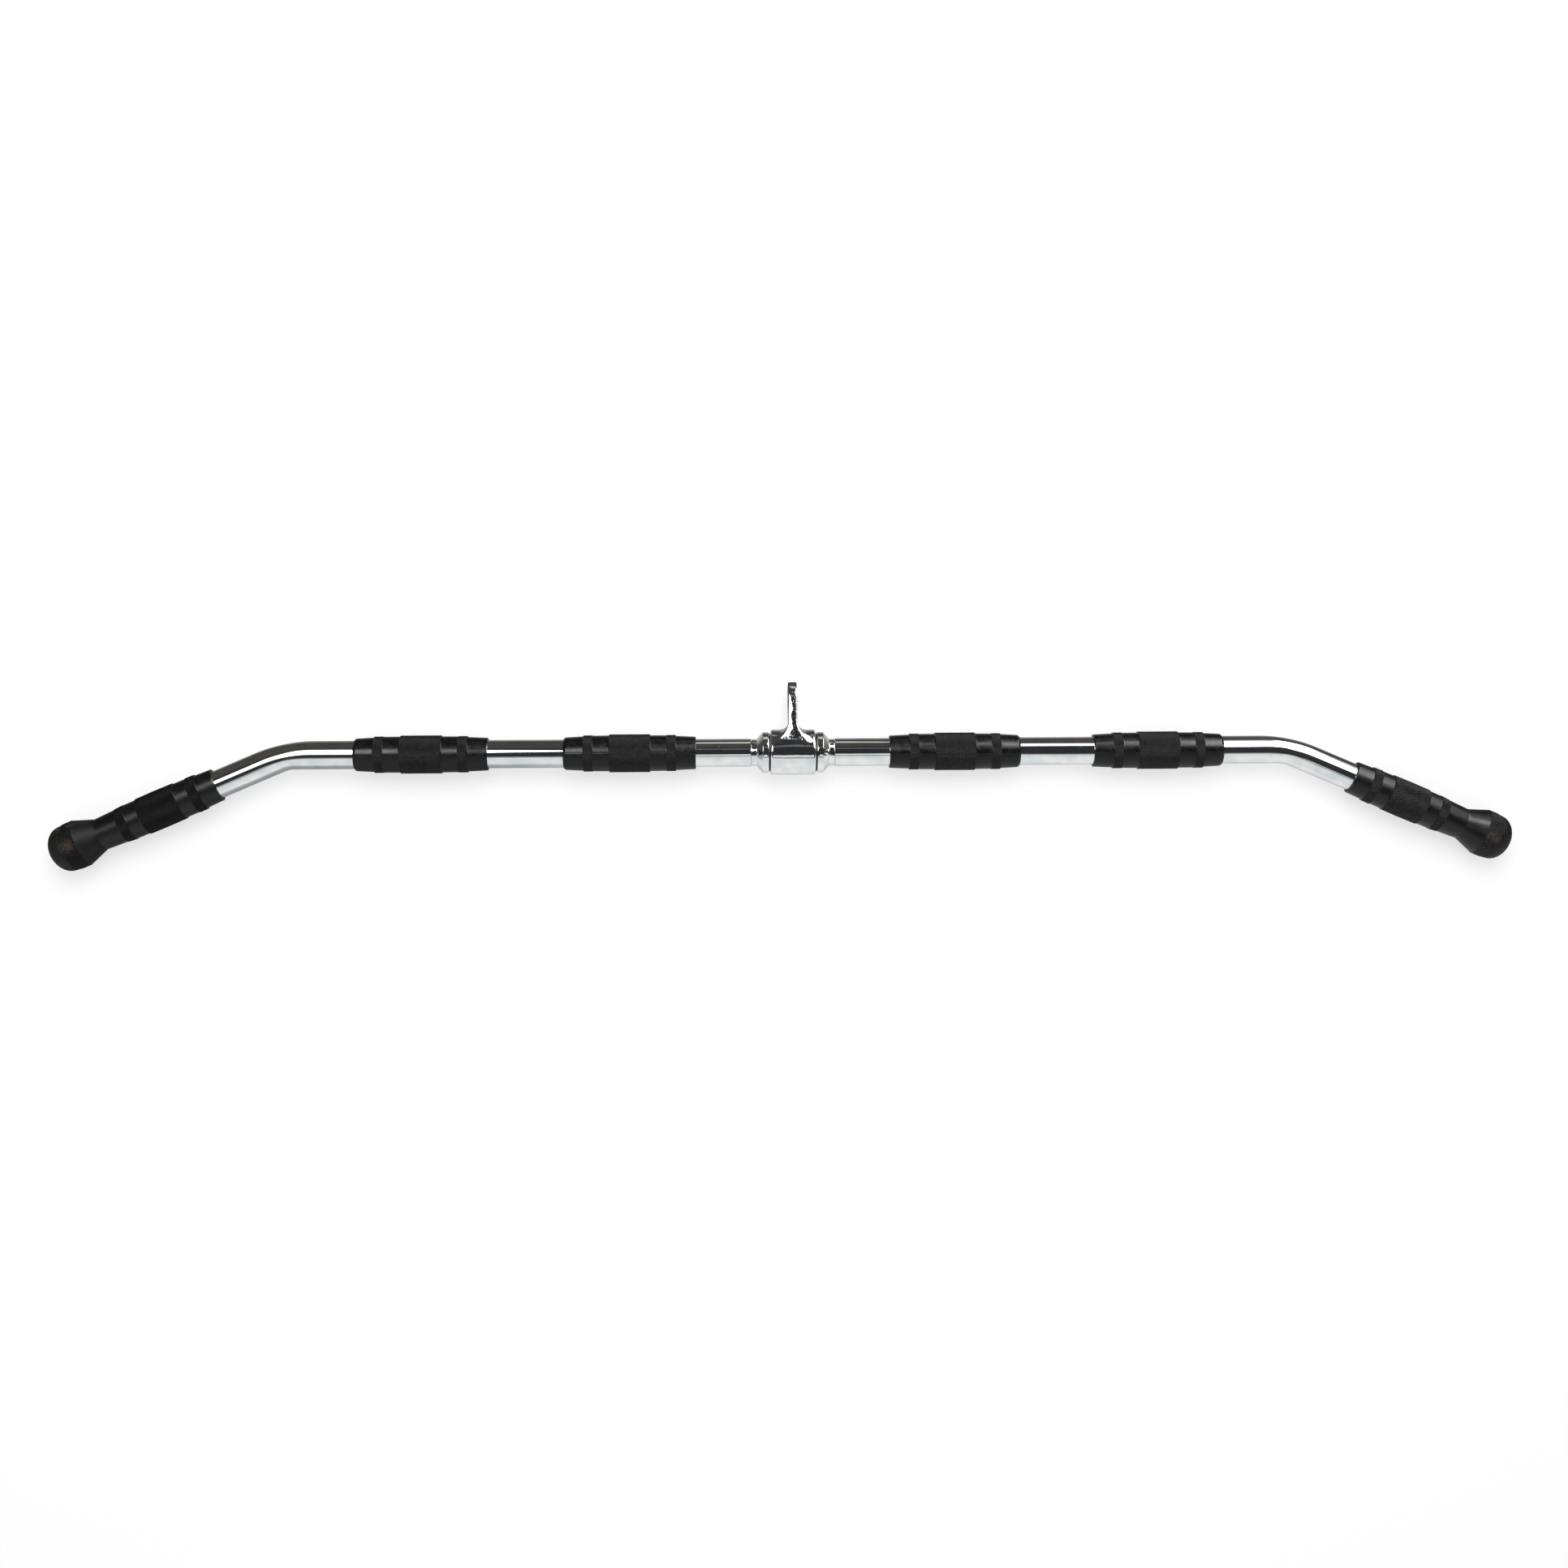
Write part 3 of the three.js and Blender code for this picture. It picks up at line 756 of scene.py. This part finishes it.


# The sixth value is the tone of the knurl's crowns, which is partly wear and partly a painted highlight.
# The two end grips' knurls are copies of one rubber: the right one has paler crowns as a painted
# highlight, and the left one is dimmer as painted shade.
rubber_looks = {
    "polished_rubber": (0.0040, 0.0070, 0.23, 0.30, 0.40),
    "dull_rubber": (0.0040, 0.0060, 0.42, 0.48, 0.32),
    "satin_rubber": (0.0035, 0.0055, 0.33, 0.40, 0.36),
    "rubbed_rubber": (0.0045, 0.0085, 0.45, 0.60, 0.25),
    "upper_knurl": (0.0030, 0.0050, 0.40, 0.46, 0.16, 0.050),
    "lower_knurl": (0.0025, 0.0040, 0.45, 0.50, 0.18, 0.050),
    "left_knurl_painted_dim": (0.0025, 0.0040, 0.44, 0.50, 0.14, 0.016),
    "right_knurl_painted_bright": (0.0016, 0.0025, 0.42, 0.48, 0.13, 0.095),
}
rubber = {name: moulded_rubber(name, *look) for name, look in rubber_looks.items()}
straight_finishes = [
    rubber[look] for look in ("dull_rubber", "polished_rubber", "lower_knurl", "upper_knurl")
]


def smooth_rows(start, end, start_radius, end_radius,
                start_fillet=grip_band_fillet, end_fillet=grip_band_fillet):
    """Rows of a smooth stretch: (along, radius, cut) with no knurl cut, and a concave round
    against the wall of a band at either end. A row beside each end keeps its middle straight."""
    quarter = np.linspace(0, math.pi / 2, grip_fillet_steps + 1)
    first = [(start_fillet * (1 - math.cos(q)), start_fillet * (1 - math.sin(q)))
             for q in (quarter if start_fillet else quarter[:1])]
    last = [(end_fillet * (1 - math.cos(q)), end_fillet * (1 - math.sin(q)))
            for q in (quarter[::-1] if end_fillet else quarter[:1])]
    straight_start, straight_end = start + start_fillet, end - end_fillet
    rise_per_length = (end_radius - start_radius) / (straight_end - straight_start)
    return [
        *[(start + past, start_radius + lift, 0) for past, lift in first],
        *[(straight_start + past, start_radius + rise_per_length * past, 0)
          for past in (grip_hold, straight_end - straight_start - grip_hold)],
        *[(end - past, end_radius + lift, 0) for past, lift in last],
    ]


def knurled_rows(*stops):
    """Rows of a knurled band through stops of (along, radius), two rows to each pitch, cut by
    turns: 1 and 2 mark odd and even."""
    places, radii = np.array(stops).T
    half_pitches = round(2 * (places[-1] - places[0]) / knurl_pitch)
    along = np.linspace(places[0], places[-1], half_pitches + 1)
    reach = np.interp(along, places, radii)
    return [(place, radius, 1 + k % 2) for k, (place, radius) in enumerate(zip(along, reach))]


def grip_columns(radius, columns):
    """Angles round a grip from its parting line, and what each column is: -1 on the line,
    else its number in its half."""
    edge = parting_half_width / radius
    inner = np.linspace(edge, math.pi - edge, columns + 1)
    angles = np.concatenate([[0], inner, [math.pi], math.pi + inner])
    kinds = np.concatenate([[-1], np.arange(columns + 1)] * 2)
    return angles, kinds


def grip_skin(rows, columns, angles_of, ends, parting_turn):
    """Points and faces of a grip, with a marker for the faces that are knurled, and for each
    point its place along, its radius, its angle past the parting line and 1 on a crown."""
    widest = max(radius for _, radius, _ in rows)
    angles, kinds = grip_columns(widest, columns)
    on_line = kinds < 0
    rings, spots = [], []
    for along, radius, cut in rows:
        depth = np.zeros(len(angles))
        if cut:
            depth = np.where((kinds + cut) % 2 == 0, knurl_depth, 0)
        outside = radius > grip_bore_radius + fit_gap
        reach = radius - depth + np.where(on_line, depth + (parting_height if outside else 0), 0)
        rings.append(angles_of(along, reach, angles + parting_turn))
        crowns = (depth == 0) & ~on_line & bool(cut)
        spots += [(along, radius, angle, float(crown)) for angle, crown in zip(angles, crowns)]
    points, quads = skin(np.array(rings), ends)
    faces, knurled = [], []
    sides = len(angles)
    for face in quads:
        row, after = face[0] // sides, face[1] // sides
        in_row = len(face) == 4 and after == row + 1 and after < len(rows)
        if not (in_row and rows[row][2] and rows[after][2]):
            faces.append(face)
            knurled.append(False)
            continue
        column = face[0] % sides
        valley_first = (kinds[column] + rows[row][2]) % 2 == 0
        if kinds[column] < 0:
            valley_first = (kinds[(column + 1) % sides] + rows[row][2]) % 2 == 1
        a, b, c, d = face
        faces += [(a, b, c), (a, c, d)] if valley_first else [(a, b, d), (b, c, d)]
        knurled += [True, True]
    return points, faces, np.array(knurled), np.array(spots)


def new_grip(name, rows, columns, angles_of, ends, finishes, rubbed_from=math.inf, worn_spots=()):
    """A grip in the finishes (lower, upper, lower knurl, upper knurl, rubbed), with flat knurled
    faces. Its crowns, worn spots and the distances from its gate are marked on its points."""
    spot = name.split("_grip")[0]
    points, faces, knurled, spots = grip_skin(rows, columns, angles_of, ends, parting_turns[spot])
    grip = new_piece(name, points, faces, finishes[0], sharp=40)
    for finish in finishes[1:]:
        grip.data.materials.append(finish)
    spots = np.vstack([spots, np.repeat(spots[-1:], len(points) - len(spots), axis=0)])
    along, radius, angle, crown = spots.T
    in_half = (angle > 0) & (angle < math.pi)
    finish = [4 if not cut and min(along[list(face)]) >= rubbed_from
              else int(in_half[list(face)].all()) + 2 * int(cut) for face, cut in zip(faces, knurled)]
    grip.data.polygons.foreach_set("material_index", finish)
    grip.data.polygons.foreach_set("use_smooth", ~knurled)
    signed = np.where(angle > math.pi, angle - 2 * math.pi, angle)
    wear = np.zeros(len(points))
    for worn_along, worn_turn, size in worn_spots:
        turn = np.remainder(angle + parting_turns[spot] - worn_turn + math.pi, 2 * math.pi) - math.pi
        away = np.hypot(along - worn_along, radius * turn) / size
        wear = np.maximum(wear, np.clip(wear_reach - away, 0, 1))
    marks = {
        "crown": crown,
        "wear": wear,
        "past_gate": along - gate_spots.get(spot, no_gate),
        "off_line": radius * signed,
    }
    for mark, values in marks.items():
        grip.data.attributes.new(mark, "FLOAT", "POINT").data.foreach_set("value", values)
    return grip


centre_end = grip_centre_band / 2
band_start = centre_end + grip_inner_plain
band_end = band_start + grip_band
grip_end = band_end + grip_outer_plain
outer_edge, inner_edge = grip_end_radius - grip_outer_round, grip_end_radius - grip_inner_round
outer_arc = rounded(grip_end - grip_outer_round, outer_edge, grip_outer_round,
                    90, grip_outer_round_end, 5)
inner_arc = rounded(grip_inner_round - grip_end, inner_edge, grip_inner_round, 180, 90, 3)
straight_rows = [
    (-grip_end, grip_bore_radius, 0),
    *[(along, radius, 0) for along, radius in inner_arc],
    *smooth_rows(-grip_end + 2 * grip_inner_round, -band_end,
                 grip_end_radius, grip_shoulder_radius, 0),
    *knurled_rows((-band_end, grip_band_radius), (-band_start, grip_band_radius)),
    *smooth_rows(-band_start, -centre_end,
                 grip_plain_radius, grip_beside_radius, end_fillet=grip_centre_fillet),
    *knurled_rows((-centre_end, grip_centre_radius), (centre_end, grip_centre_radius)),
    *smooth_rows(centre_end, band_start,
                 grip_beside_radius, grip_plain_radius, grip_centre_fillet),
    *knurled_rows((band_start, grip_band_radius), (band_end, grip_band_radius)),
    *smooth_rows(band_end, grip_end - grip_outer_round_from_end,
                 grip_shoulder_radius, grip_end_radius, end_fillet=0),
    *[(along, radius, 0) for along, radius in outer_arc],
    (grip_end, grip_bore_radius, 0),
]
for name, side in sides_of_bar:
    for spot, from_centre in grip_from_centre.items():

        def straight_place(along, reach, angles):
            x = np.full(len(angles), axis.x + side * (from_centre + along))
            across, upward = axis.y + reach * np.sin(angles), axis.z + reach * np.cos(angles)
            return np.stack([x, across, upward], axis=-1)

        grip = new_grip(f"{name}_{spot}_grip_moulded", straight_rows, knurl_columns,
                        straight_place, "joined", straight_finishes)
        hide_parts(f"{name}_{spot}_grip")
        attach(grip, "bar")

# End grips: the same rubber and bands, moulded over the tube's closed end, with a neck and a
# flared, knurled knob that keeps the hand from sliding off. The knobs are scuffed from the floor.
end_neck_radius = 0.0145
end_mouth_radius = 0.015
end_band_end_radius = 0.01665
end_taper_radius = 0.0158
end_shoulder_radius = 0.0154
end_centre_crown = 0.0002
end_knob_radius = 0.02158
end_dome_start_radius = 0.0208
end_dome_steps = 16
end_mouth_round = 0.0005
knob_edge_width = 0.0004
knob_edge_drop = 0.0004
knob_shoulder_length = 0.0055
cone_hold_share = 0.05
end_knurl_columns = 62
worn_spots = {
    "left": [(0.2040, math.radians(2), 0.0052), (0.1962, math.radians(56), 0.0030),
             (0.2095, math.radians(60), 0.0040), (0.2160, math.radians(-50), 0.0055)],
    "right": [(0.1998, math.radians(-6), 0.0032), (0.2036, math.radians(-7), 0.0034),
              (0.2072, math.radians(-8), 0.0032)],
}

# Each end grip has its own knurl copy: the right one is painted brighter and the left one painted
# darker, for light that falls unevenly on the two ends.
end_finishes = {
    side: [rubber[look] for look in ("satin_rubber", "satin_rubber", knurl, knurl, "rubbed_rubber")]
    for side, knurl in (("left", "left_knurl_painted_dim"), ("right", "right_knurl_painted_bright"))
}
stations = dict(zip(end_grip_lengths, np.cumsum([end_grip_from_bend, *end_grip_lengths.values()])))
dome_start = stations["dome"]
rubbed_from = {"left": stations["flare"], "right": dome_start}
centre_middle = (stations["centre_band"] + stations["second_plain"]) / 2
knob_knurl_start = stations["knob_band"] + knob_edge_width
knob_shoulder = dome_start - knob_shoulder_length
dome_turns = [math.pi / 2 * step / end_dome_steps for step in range(end_dome_steps)]
dome_rows = [(dome_start + end_grip_lengths["dome"] * math.sin(turn),
              end_dome_start_radius * math.cos(turn), 0) for turn in dome_turns]
cone_end_radius = end_knob_radius - knob_edge_drop
cone_rows = [(stations["flare"] + end_grip_lengths["flare"] * share,
              end_neck_radius + (cone_end_radius - end_neck_radius) * share, 0)
             for share in (cone_hold_share, 1 - cone_hold_share, 1)]
mouth_edge = end_mouth_radius - end_mouth_round
mouth_arc = rounded(end_grip_from_bend + end_mouth_round, mouth_edge, end_mouth_round, 180, 90, 3)
end_rows = [
    (pocket_end, grip_bore_radius / 2, 0),
    (pocket_end, grip_bore_radius, 0),
    (end_grip_from_bend, grip_bore_radius, 0),
    *[(along, radius, 0) for along, radius in mouth_arc],
    *smooth_rows(end_grip_from_bend + 3 * end_mouth_round, stations["first_band"],
                 end_mouth_radius, grip_shoulder_radius, 0),
    *knurled_rows((stations["first_band"], grip_band_radius),
                  (stations["first_plain"], end_band_end_radius)),
    *smooth_rows(stations["first_plain"], stations["centre_band"],
                 grip_plain_radius, grip_beside_radius, end_fillet=grip_centre_fillet),
    *knurled_rows((stations["centre_band"], grip_centre_radius - end_centre_crown),
                  (centre_middle, grip_centre_radius),
                  (stations["second_plain"], grip_centre_radius - end_centre_crown)),
    *smooth_rows(stations["second_plain"], stations["second_band"],
                 grip_beside_radius, grip_plain_radius, grip_centre_fillet),
    *knurled_rows((stations["second_band"], grip_band_radius), (stations["taper"], end_taper_radius)),
    *smooth_rows(stations["taper"], stations["flare"],
                 end_shoulder_radius, end_neck_radius, end_fillet=0),
    *cone_rows,
    *knurled_rows((knob_knurl_start, end_knob_radius), (knob_shoulder, end_knob_radius),
                  (dome_start, end_dome_start_radius)),
    *dome_rows,
]
for name, side in sides_of_bar:

    def bent_place(along, reach, angles):
        return bent_rings(side, [(along, reach)], angles)[0]

    end_grip = new_grip(f"{name}_end_grip_moulded", end_rows, end_knurl_columns, bent_place, "closed",
                        end_finishes[name], rubbed_from[name], worn_spots[name])
    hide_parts(f"{name}_end_grip")
    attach(end_grip, "bar")

# Camera: above the hanger and turned a little, so that the bar's left end is nearer, as the
# photograph was taken. Its place is measured from the middle of the spindle.
image_side_px = 1932
focal_px = 2596
camera_offset = Vector((-0.0617, -0.029, 1.908))
camera_yaw = math.radians(3.1)
camera_roll = math.radians(0.39)
camera_shift = -0.035

camera_data = bpy.data.cameras.new("camera")
camera_data.sensor_width = 36
camera_data.lens = camera_data.sensor_width * focal_px / image_side_px
camera_data.shift_x = camera_shift
camera = bpy.data.objects.new("camera", camera_data)
bpy.context.scene.collection.objects.link(camera)
bpy.context.scene.camera = camera
backward = Vector((-math.sin(camera_yaw), 0, math.cos(camera_yaw)))
level_right = Vector((math.cos(camera_yaw), 0, math.sin(camera_yaw)))
level_up = Vector((0, 1, 0))
camera_right = math.cos(camera_roll) * level_right - math.sin(camera_roll) * level_up
camera_up = math.sin(camera_roll) * level_right + math.cos(camera_roll) * level_up
turned_camera = Matrix((camera_right, camera_up, backward)).transposed().to_4x4()
camera.matrix_world = Matrix.Translation(axis + camera_offset) @ turned_camera

# Floor: a plain white sheet. It shows white with the object's soft shadow. Bright metal sees a
# painted reflection on it: painted shade by the bar, and a painted dim room further behind.
floor_half = 6.0
floor_drop = 0.0002
# Tones that only gloss sees, all painted and emitted: grey painted shade near the bar, paler away in
# front, and a painted dim room with a paler strip and glow further behind.
left_to_right = (-0.3, -0.1)
left_front_reach = (-0.03, -0.25)
left_front_tones = ((0.31, 0.32, 0.33, 1), (0.58, 0.59, 0.60, 1))
right_front_reach = (-0.005, -0.065)
right_front_tones = ((0.52, 0.52, 0.52, 1), (0.86, 0.865, 0.865, 1))
back_tones = ((0.39, 0.40, 0.41, 1), (0.62, 0.62, 0.61, 1))
right_end_reach = (0.3, 0.42)
right_end_tone = (0.33, 0.33, 0.33, 1)
under_bar = (-0.008, 0.008)
far_reach = (0.012, 0.065)
painted_dim_room_tone = (0.066, 0.062, 0.056, 1)
strip_reach = (0.16, 0.28)
strip_sides = (0.14, 0.06)
strip_tone = (0.42, 0.42, 0.42, 1)
right_glow_reach = (0.1, 0.3)
right_glow_side = (0.42, 0.6)
right_glow_tone = (0.25, 0.25, 0.25, 1)
paper_tone = (0.8, 0.8, 0.8, 1)
shadow_tone = (0.5, 0.5, 0.5, 1)
glow_strength = 0.60

floor_material = bpy.data.materials.new("white_sheet_painted_reflection")
floor_material.use_nodes = True
tree = floor_material.node_tree
tree.nodes.clear()
rays = node(tree, "LightPath").outputs
spot = node(tree, "SeparateXYZ", {0: node(tree, "NewGeometry").outputs["Position"]}).outputs
off_centre = sum_of(tree, "ABSOLUTE", spot["X"])
past_bend = sum_of(tree, "MAXIMUM", sum_of(tree, "SUBTRACT", off_centre, bend_from_centre), 0.0)
from_axis = sum_of(tree, "SUBTRACT", spot["Y"], axis.y)
from_bar = sum_of(tree, "MULTIPLY_ADD", past_bend, math.tan(bend_angle), from_axis)
to_right = rise(tree, spot["X"], *left_to_right)
left_front = mix(tree, rise(tree, from_bar, *left_front_reach), *left_front_tones)
right_front = mix(tree, rise(tree, from_bar, *right_front_reach), *right_front_tones)
front = mix(tree, to_right, left_front, right_front)
back = mix(tree, to_right, *back_tones)
back = mix(tree, rise(tree, spot["X"], *right_end_reach), back, right_end_tone)
painted_shade_by_bar = mix(tree, rise(tree, from_bar, *under_bar), front, back)
behind, beside = rise(tree, from_axis, *strip_reach), rise(tree, off_centre, *strip_sides)
far_away = mix(tree, sum_of(tree, "MULTIPLY", behind, beside), painted_dim_room_tone, strip_tone)
behind, beside = rise(tree, from_axis, *right_glow_reach), rise(tree, spot["X"], *right_glow_side)
far_away = mix(tree, sum_of(tree, "MULTIPLY", behind, beside), far_away, right_glow_tone)
painted_reflection_tone = mix(tree, rise(tree, from_bar, *far_reach), painted_shade_by_bar, far_away)
painted_reflection_glow = node(tree, "Emission", {"Color": painted_reflection_tone, "Strength": 1.0}).outputs[0]
paper = node(tree, "BsdfDiffuse", {"Color": paper_tone}).outputs[0]
shaded = node(tree, "BsdfDiffuse", {"Color": shadow_tone}).outputs[0]
glow = node(tree, "Emission", {"Color": (1, 1, 1, 1), "Strength": glow_strength}).outputs[0]
lens_sees = node(tree, "AddShader", {0: shaded, 1: glow}).outputs[0]
others = node(tree, "MixShader", {0: rays["Is Camera Ray"], 1: paper, 2: lens_sees}).outputs[0]
surface = node(tree, "MixShader", {0: rays["Is Glossy Ray"], 1: others, 2: painted_reflection_glow}).outputs[0]
node(tree, "OutputMaterial", {"Surface": surface})
floor_corners = [(-floor_half, -floor_half, -floor_drop), (floor_half, -floor_half, -floor_drop),
                 (floor_half, floor_half, -floor_drop), (-floor_half, floor_half, -floor_drop)]
floor_mesh = bpy.data.meshes.new("floor")
floor_mesh.from_pydata(floor_corners, [], [(0, 1, 2, 3)])
floor_mesh.materials.append(floor_material)
floor = bpy.data.objects.new("floor", floor_mesh)
bpy.context.scene.collection.objects.link(floor)

# Cards: a small white one and two black ones by the right knob, only seen in its gloss. They paint
# a glint and shade into its reflection, standing in for the room's lights, which that end sees
# further to the left than the middle does.
knob_glint = Vector((0.624, -0.073, 0.038))
card_distance = 0.3
cards = {
    "painted_glint_card": {"slant": 0.005, "lean": 55, "half": (0.018, 0.036), "strength": 40.0},
    "left_painted_shade_card": {"slant": -0.30, "lean": 27, "half": (0.048, 0.085), "strength": 0.035},
    "right_painted_shade_card": {"slant": 0.98, "lean": 55, "half": (0.050, 0.085), "strength": 0.035},
}

for name, card_look in cards.items():
    card_material = bpy.data.materials.new(name)
    card_material.use_nodes = True
    tree = card_material.node_tree
    tree.nodes.clear()
    painted_card_glow = node(tree, "Emission", {"Color": (1, 1, 1, 1), "Strength": card_look["strength"]})
    node(tree, "OutputMaterial", {"Surface": painted_card_glow.outputs[0]})
    card_lean = math.radians(card_look["lean"])
    toward = Vector((card_look["slant"], math.sin(card_lean), math.cos(card_lean))).normalized()
    half_width, half_height = card_look["half"]
    card_mesh = bpy.data.meshes.new(name)
    card_corners = [(-half_width, -half_height, 0), (half_width, -half_height, 0),
                    (half_width, half_height, 0), (-half_width, half_height, 0)]
    card_mesh.from_pydata(card_corners, [], [(0, 1, 2, 3)])
    card_mesh.materials.append(card_material)
    card = bpy.data.objects.new(name, card_mesh)
    bpy.context.scene.collection.objects.link(card)
    facing = toward.to_track_quat("Z", "Y").to_matrix().to_4x4()
    card.matrix_world = Matrix.Translation(knob_glint + toward * card_distance) @ facing
    card.visible_camera = False
    card.visible_diffuse = False
    card.visible_transmission = False
    card.visible_shadow = False

# Room: even white light all round. Bright metal also sees a dim room towards +Y, the dark camera
# overhead, a pale wall towards -Y and two soft lights. A ray's lean is its angle in degrees from
# straight up towards +Y, and its slant is how far it goes along X for one step away from the bar.
middle_slant = 0.04
middle_edge = (0.1, 0.06)
wall_tone = (0.75, 0.77, 0.775, 1)
low_wall_tone = (0.85, 0.875, 0.875, 1)
low_wall_leans = (-40.0, -75.0)
left_wall_tone = (0.765, 0.79, 0.81, 1)
left_wall_slants = (0.0, -0.12)
wall_line_leans = (-32.5, -26.5)
wall_line_edge = (0.09, 0.05)
wall_line_tone = (0.24, 0.235, 0.21, 1)
wall_ends = {"middle": -15.0, "beside": -28.5}
wall_end_softness = {"middle": 2.5, "beside": 9.5}
beside_middle = (0.05, 0.1)
right_wall_drop = ((0.1, 0.2), (0.0, -4.5))
overhead_tone = (0.030, 0.031, 0.034, 1)
dim_room_tone = (0.068, 0.064, 0.058, 1)
dim_room_leans = (30.0, 55.0)
streak_leans = (25.5, 31.5)
streak_tone = (0.16, 0.16, 0.17, 1)
window_leans = (82.0, 99.0)
window_fade = (86.0, 94.0)
window_tones = ((0.78, 0.78, 0.78, 1), (0.42, 0.42, 0.42, 1))
soft_lights = {
    "left": {
        "low": ((-0.17, -0.05), (3.0, 18.5)),
        "high": ((-0.05, -0.18), (23.0, 41.0)),
        "high_change": ((-0.26, -0.46), (0.0, -15.0)),
        "side": (-0.045, -0.07),
        "fade": ((-0.38, -0.46), (1.0, 0.1)),
        "softness": 5.0,
        "hottest": 0.5,
    },
    "right": {
        "low": ((0.19, 0.235), (41.5, 23.5)),
        "high": ((0.19, 0.235), (61.0, 80.0)),
        "high_change": ((0.3, 0.5), (0.0, 60.0)),
        "side": (0.105, 0.135),
        "fade": ((0.67, 0.78), (1.0, 0.07)),
        "softness": 6.0,
        "hottest": 0.38,
    },
}
hot_reach = (0.55, 0.05)
light_tones = ((1.15, 1.15, 1.15, 1), (9.0, 9.0, 9.0, 1))
even_tones = ((0.55, 0.55, 0.55, 1), (1, 1, 1, 1))

room = bpy.data.worlds.new("room")
bpy.context.scene.world = room
room.use_nodes = True
room.cycles.sampling_method = "NONE"
tree = room.node_tree
tree.nodes.clear()
rays = node(tree, "LightPath").outputs
heading = node(tree, "SeparateXYZ", {0: node(tree, "TexCoord").outputs["Generated"]}).outputs
lean = sum_of(tree, "MULTIPLY", sum_of(tree, "ARCTAN2", heading["Y"], heading["Z"]), math.degrees(1))
squares = [sum_of(tree, "MULTIPLY", heading[part], heading[part]) for part in "YZ"]
aside = sum_of(tree, "MAXIMUM", sum_of(tree, "SQRT", sum_of(tree, "ADD", *squares)), 0.001)
slant = sum_of(tree, "DIVIDE", heading["X"], aside)
off_middle = sum_of(tree, "ABSOLUTE", sum_of(tree, "SUBTRACT", slant, middle_slant))
in_middle = rise(tree, off_middle, *middle_edge)


def between(low, high, softness):
    """1 where the lean is between two sockets or numbers, with soft edges."""
    above = rise(tree, sum_of(tree, "SUBTRACT", lean, low), -softness, softness)
    below = rise(tree, sum_of(tree, "SUBTRACT", high, lean), -softness, softness)
    return sum_of(tree, "MULTIPLY", above, below)


def over_slants(slants, values):
    """A value that goes from the first to the second between two slants."""
    first, last = values
    return sum_of(tree, "MULTIPLY_ADD", rise(tree, slant, *slants), last - first, first)


def hot_middle(low, high, share):
    """1 where the lean is that share of the way from low to high, falling off to both."""
    height = sum_of(tree, "SUBTRACT", high, low)
    middle = sum_of(tree, "MULTIPLY_ADD", height, share, low)
    away = sum_of(tree, "ABSOLUTE", sum_of(tree, "SUBTRACT", lean, middle))
    away = sum_of(tree, "DIVIDE", away, sum_of(tree, "MAXIMUM", height, 1.0))
    return rise(tree, away, *hot_reach)


beside = rise(tree, off_middle, *beside_middle)
wall_end, softness = [
    sum_of(tree, "MULTIPLY_ADD", beside, value["beside"] - value["middle"], value["middle"])
    for value in (wall_ends, wall_end_softness)
]
wall_end = sum_of(tree, "ADD", wall_end, over_slants(*right_wall_drop))
past_wall = sum_of(tree, "DIVIDE", sum_of(tree, "SUBTRACT", lean, wall_end), softness)
wall = mix(tree, rise(tree, lean, *low_wall_leans), wall_tone, low_wall_tone)
wall = mix(tree, rise(tree, slant, *left_wall_slants), wall, left_wall_tone)
wall_line = sum_of(tree, "MULTIPLY", rise(tree, off_middle, *wall_line_edge),
                   between(*wall_line_leans, 1.5))
wall = mix(tree, wall_line, wall, wall_line_tone)
dark = mix(tree, rise(tree, lean, *dim_room_leans), overhead_tone, dim_room_tone)
streak = sum_of(tree, "MULTIPLY", between(*streak_leans, 2.0), in_middle)
dark = mix(tree, streak, dark, streak_tone)
seen = mix(tree, rise(tree, past_wall, -1.0, 1.0), wall, dark)
for soft_light in soft_lights.values():
    low_edge = over_slants(*soft_light["low"])
    high_edge = sum_of(tree, "ADD", over_slants(*soft_light["high"]),
                       over_slants(*soft_light["high_change"]))
    share = sum_of(tree, "MULTIPLY", between(low_edge, high_edge, soft_light["softness"]),
                   rise(tree, slant, *soft_light["side"]))
    share = sum_of(tree, "MULTIPLY", share, over_slants(*soft_light["fade"]))
    bright = mix(tree, hot_middle(low_edge, high_edge, soft_light["hottest"]), *light_tones)
    seen = mix(tree, share, seen, bright)
window = sum_of(tree, "MULTIPLY", between(*window_leans, 2.5), in_middle)
window_tone = mix(tree, rise(tree, lean, *window_fade), *window_tones)
seen = mix(tree, window, seen, window_tone)

even = mix(tree, rays["Is Camera Ray"], *even_tones)
light = mix(tree, rays["Is Glossy Ray"], even, seen)
background = node(tree, "Background", {"Color": light, "Strength": 1.0}).outputs[0]
node(tree, "OutputWorld", {"Surface": background})

# Lamp: one wide soft light, high on the eye's side, so that the object's soft shadow falls
# towards -Y, as in the photograph. Gloss sees the room's two soft lights instead of it.
lamp_size = 1.6
lamp_energy = 27
lamp_place = Vector((0.0, 1.1, 1.9))

lamp_data = bpy.data.lights.new("soft_lamp", "AREA")
lamp_data.size = lamp_size
lamp_data.energy = lamp_energy
lamp = bpy.data.objects.new("soft_lamp", lamp_data)
bpy.context.scene.collection.objects.link(lamp)
facing = lamp_place.to_track_quat("Z", "Y").to_matrix().to_4x4()
lamp.matrix_world = Matrix.Translation(lamp_place) @ facing
lamp.visible_glossy = False
lamp.visible_camera = False

bpy.context.scene.view_settings.view_transform = "Standard"
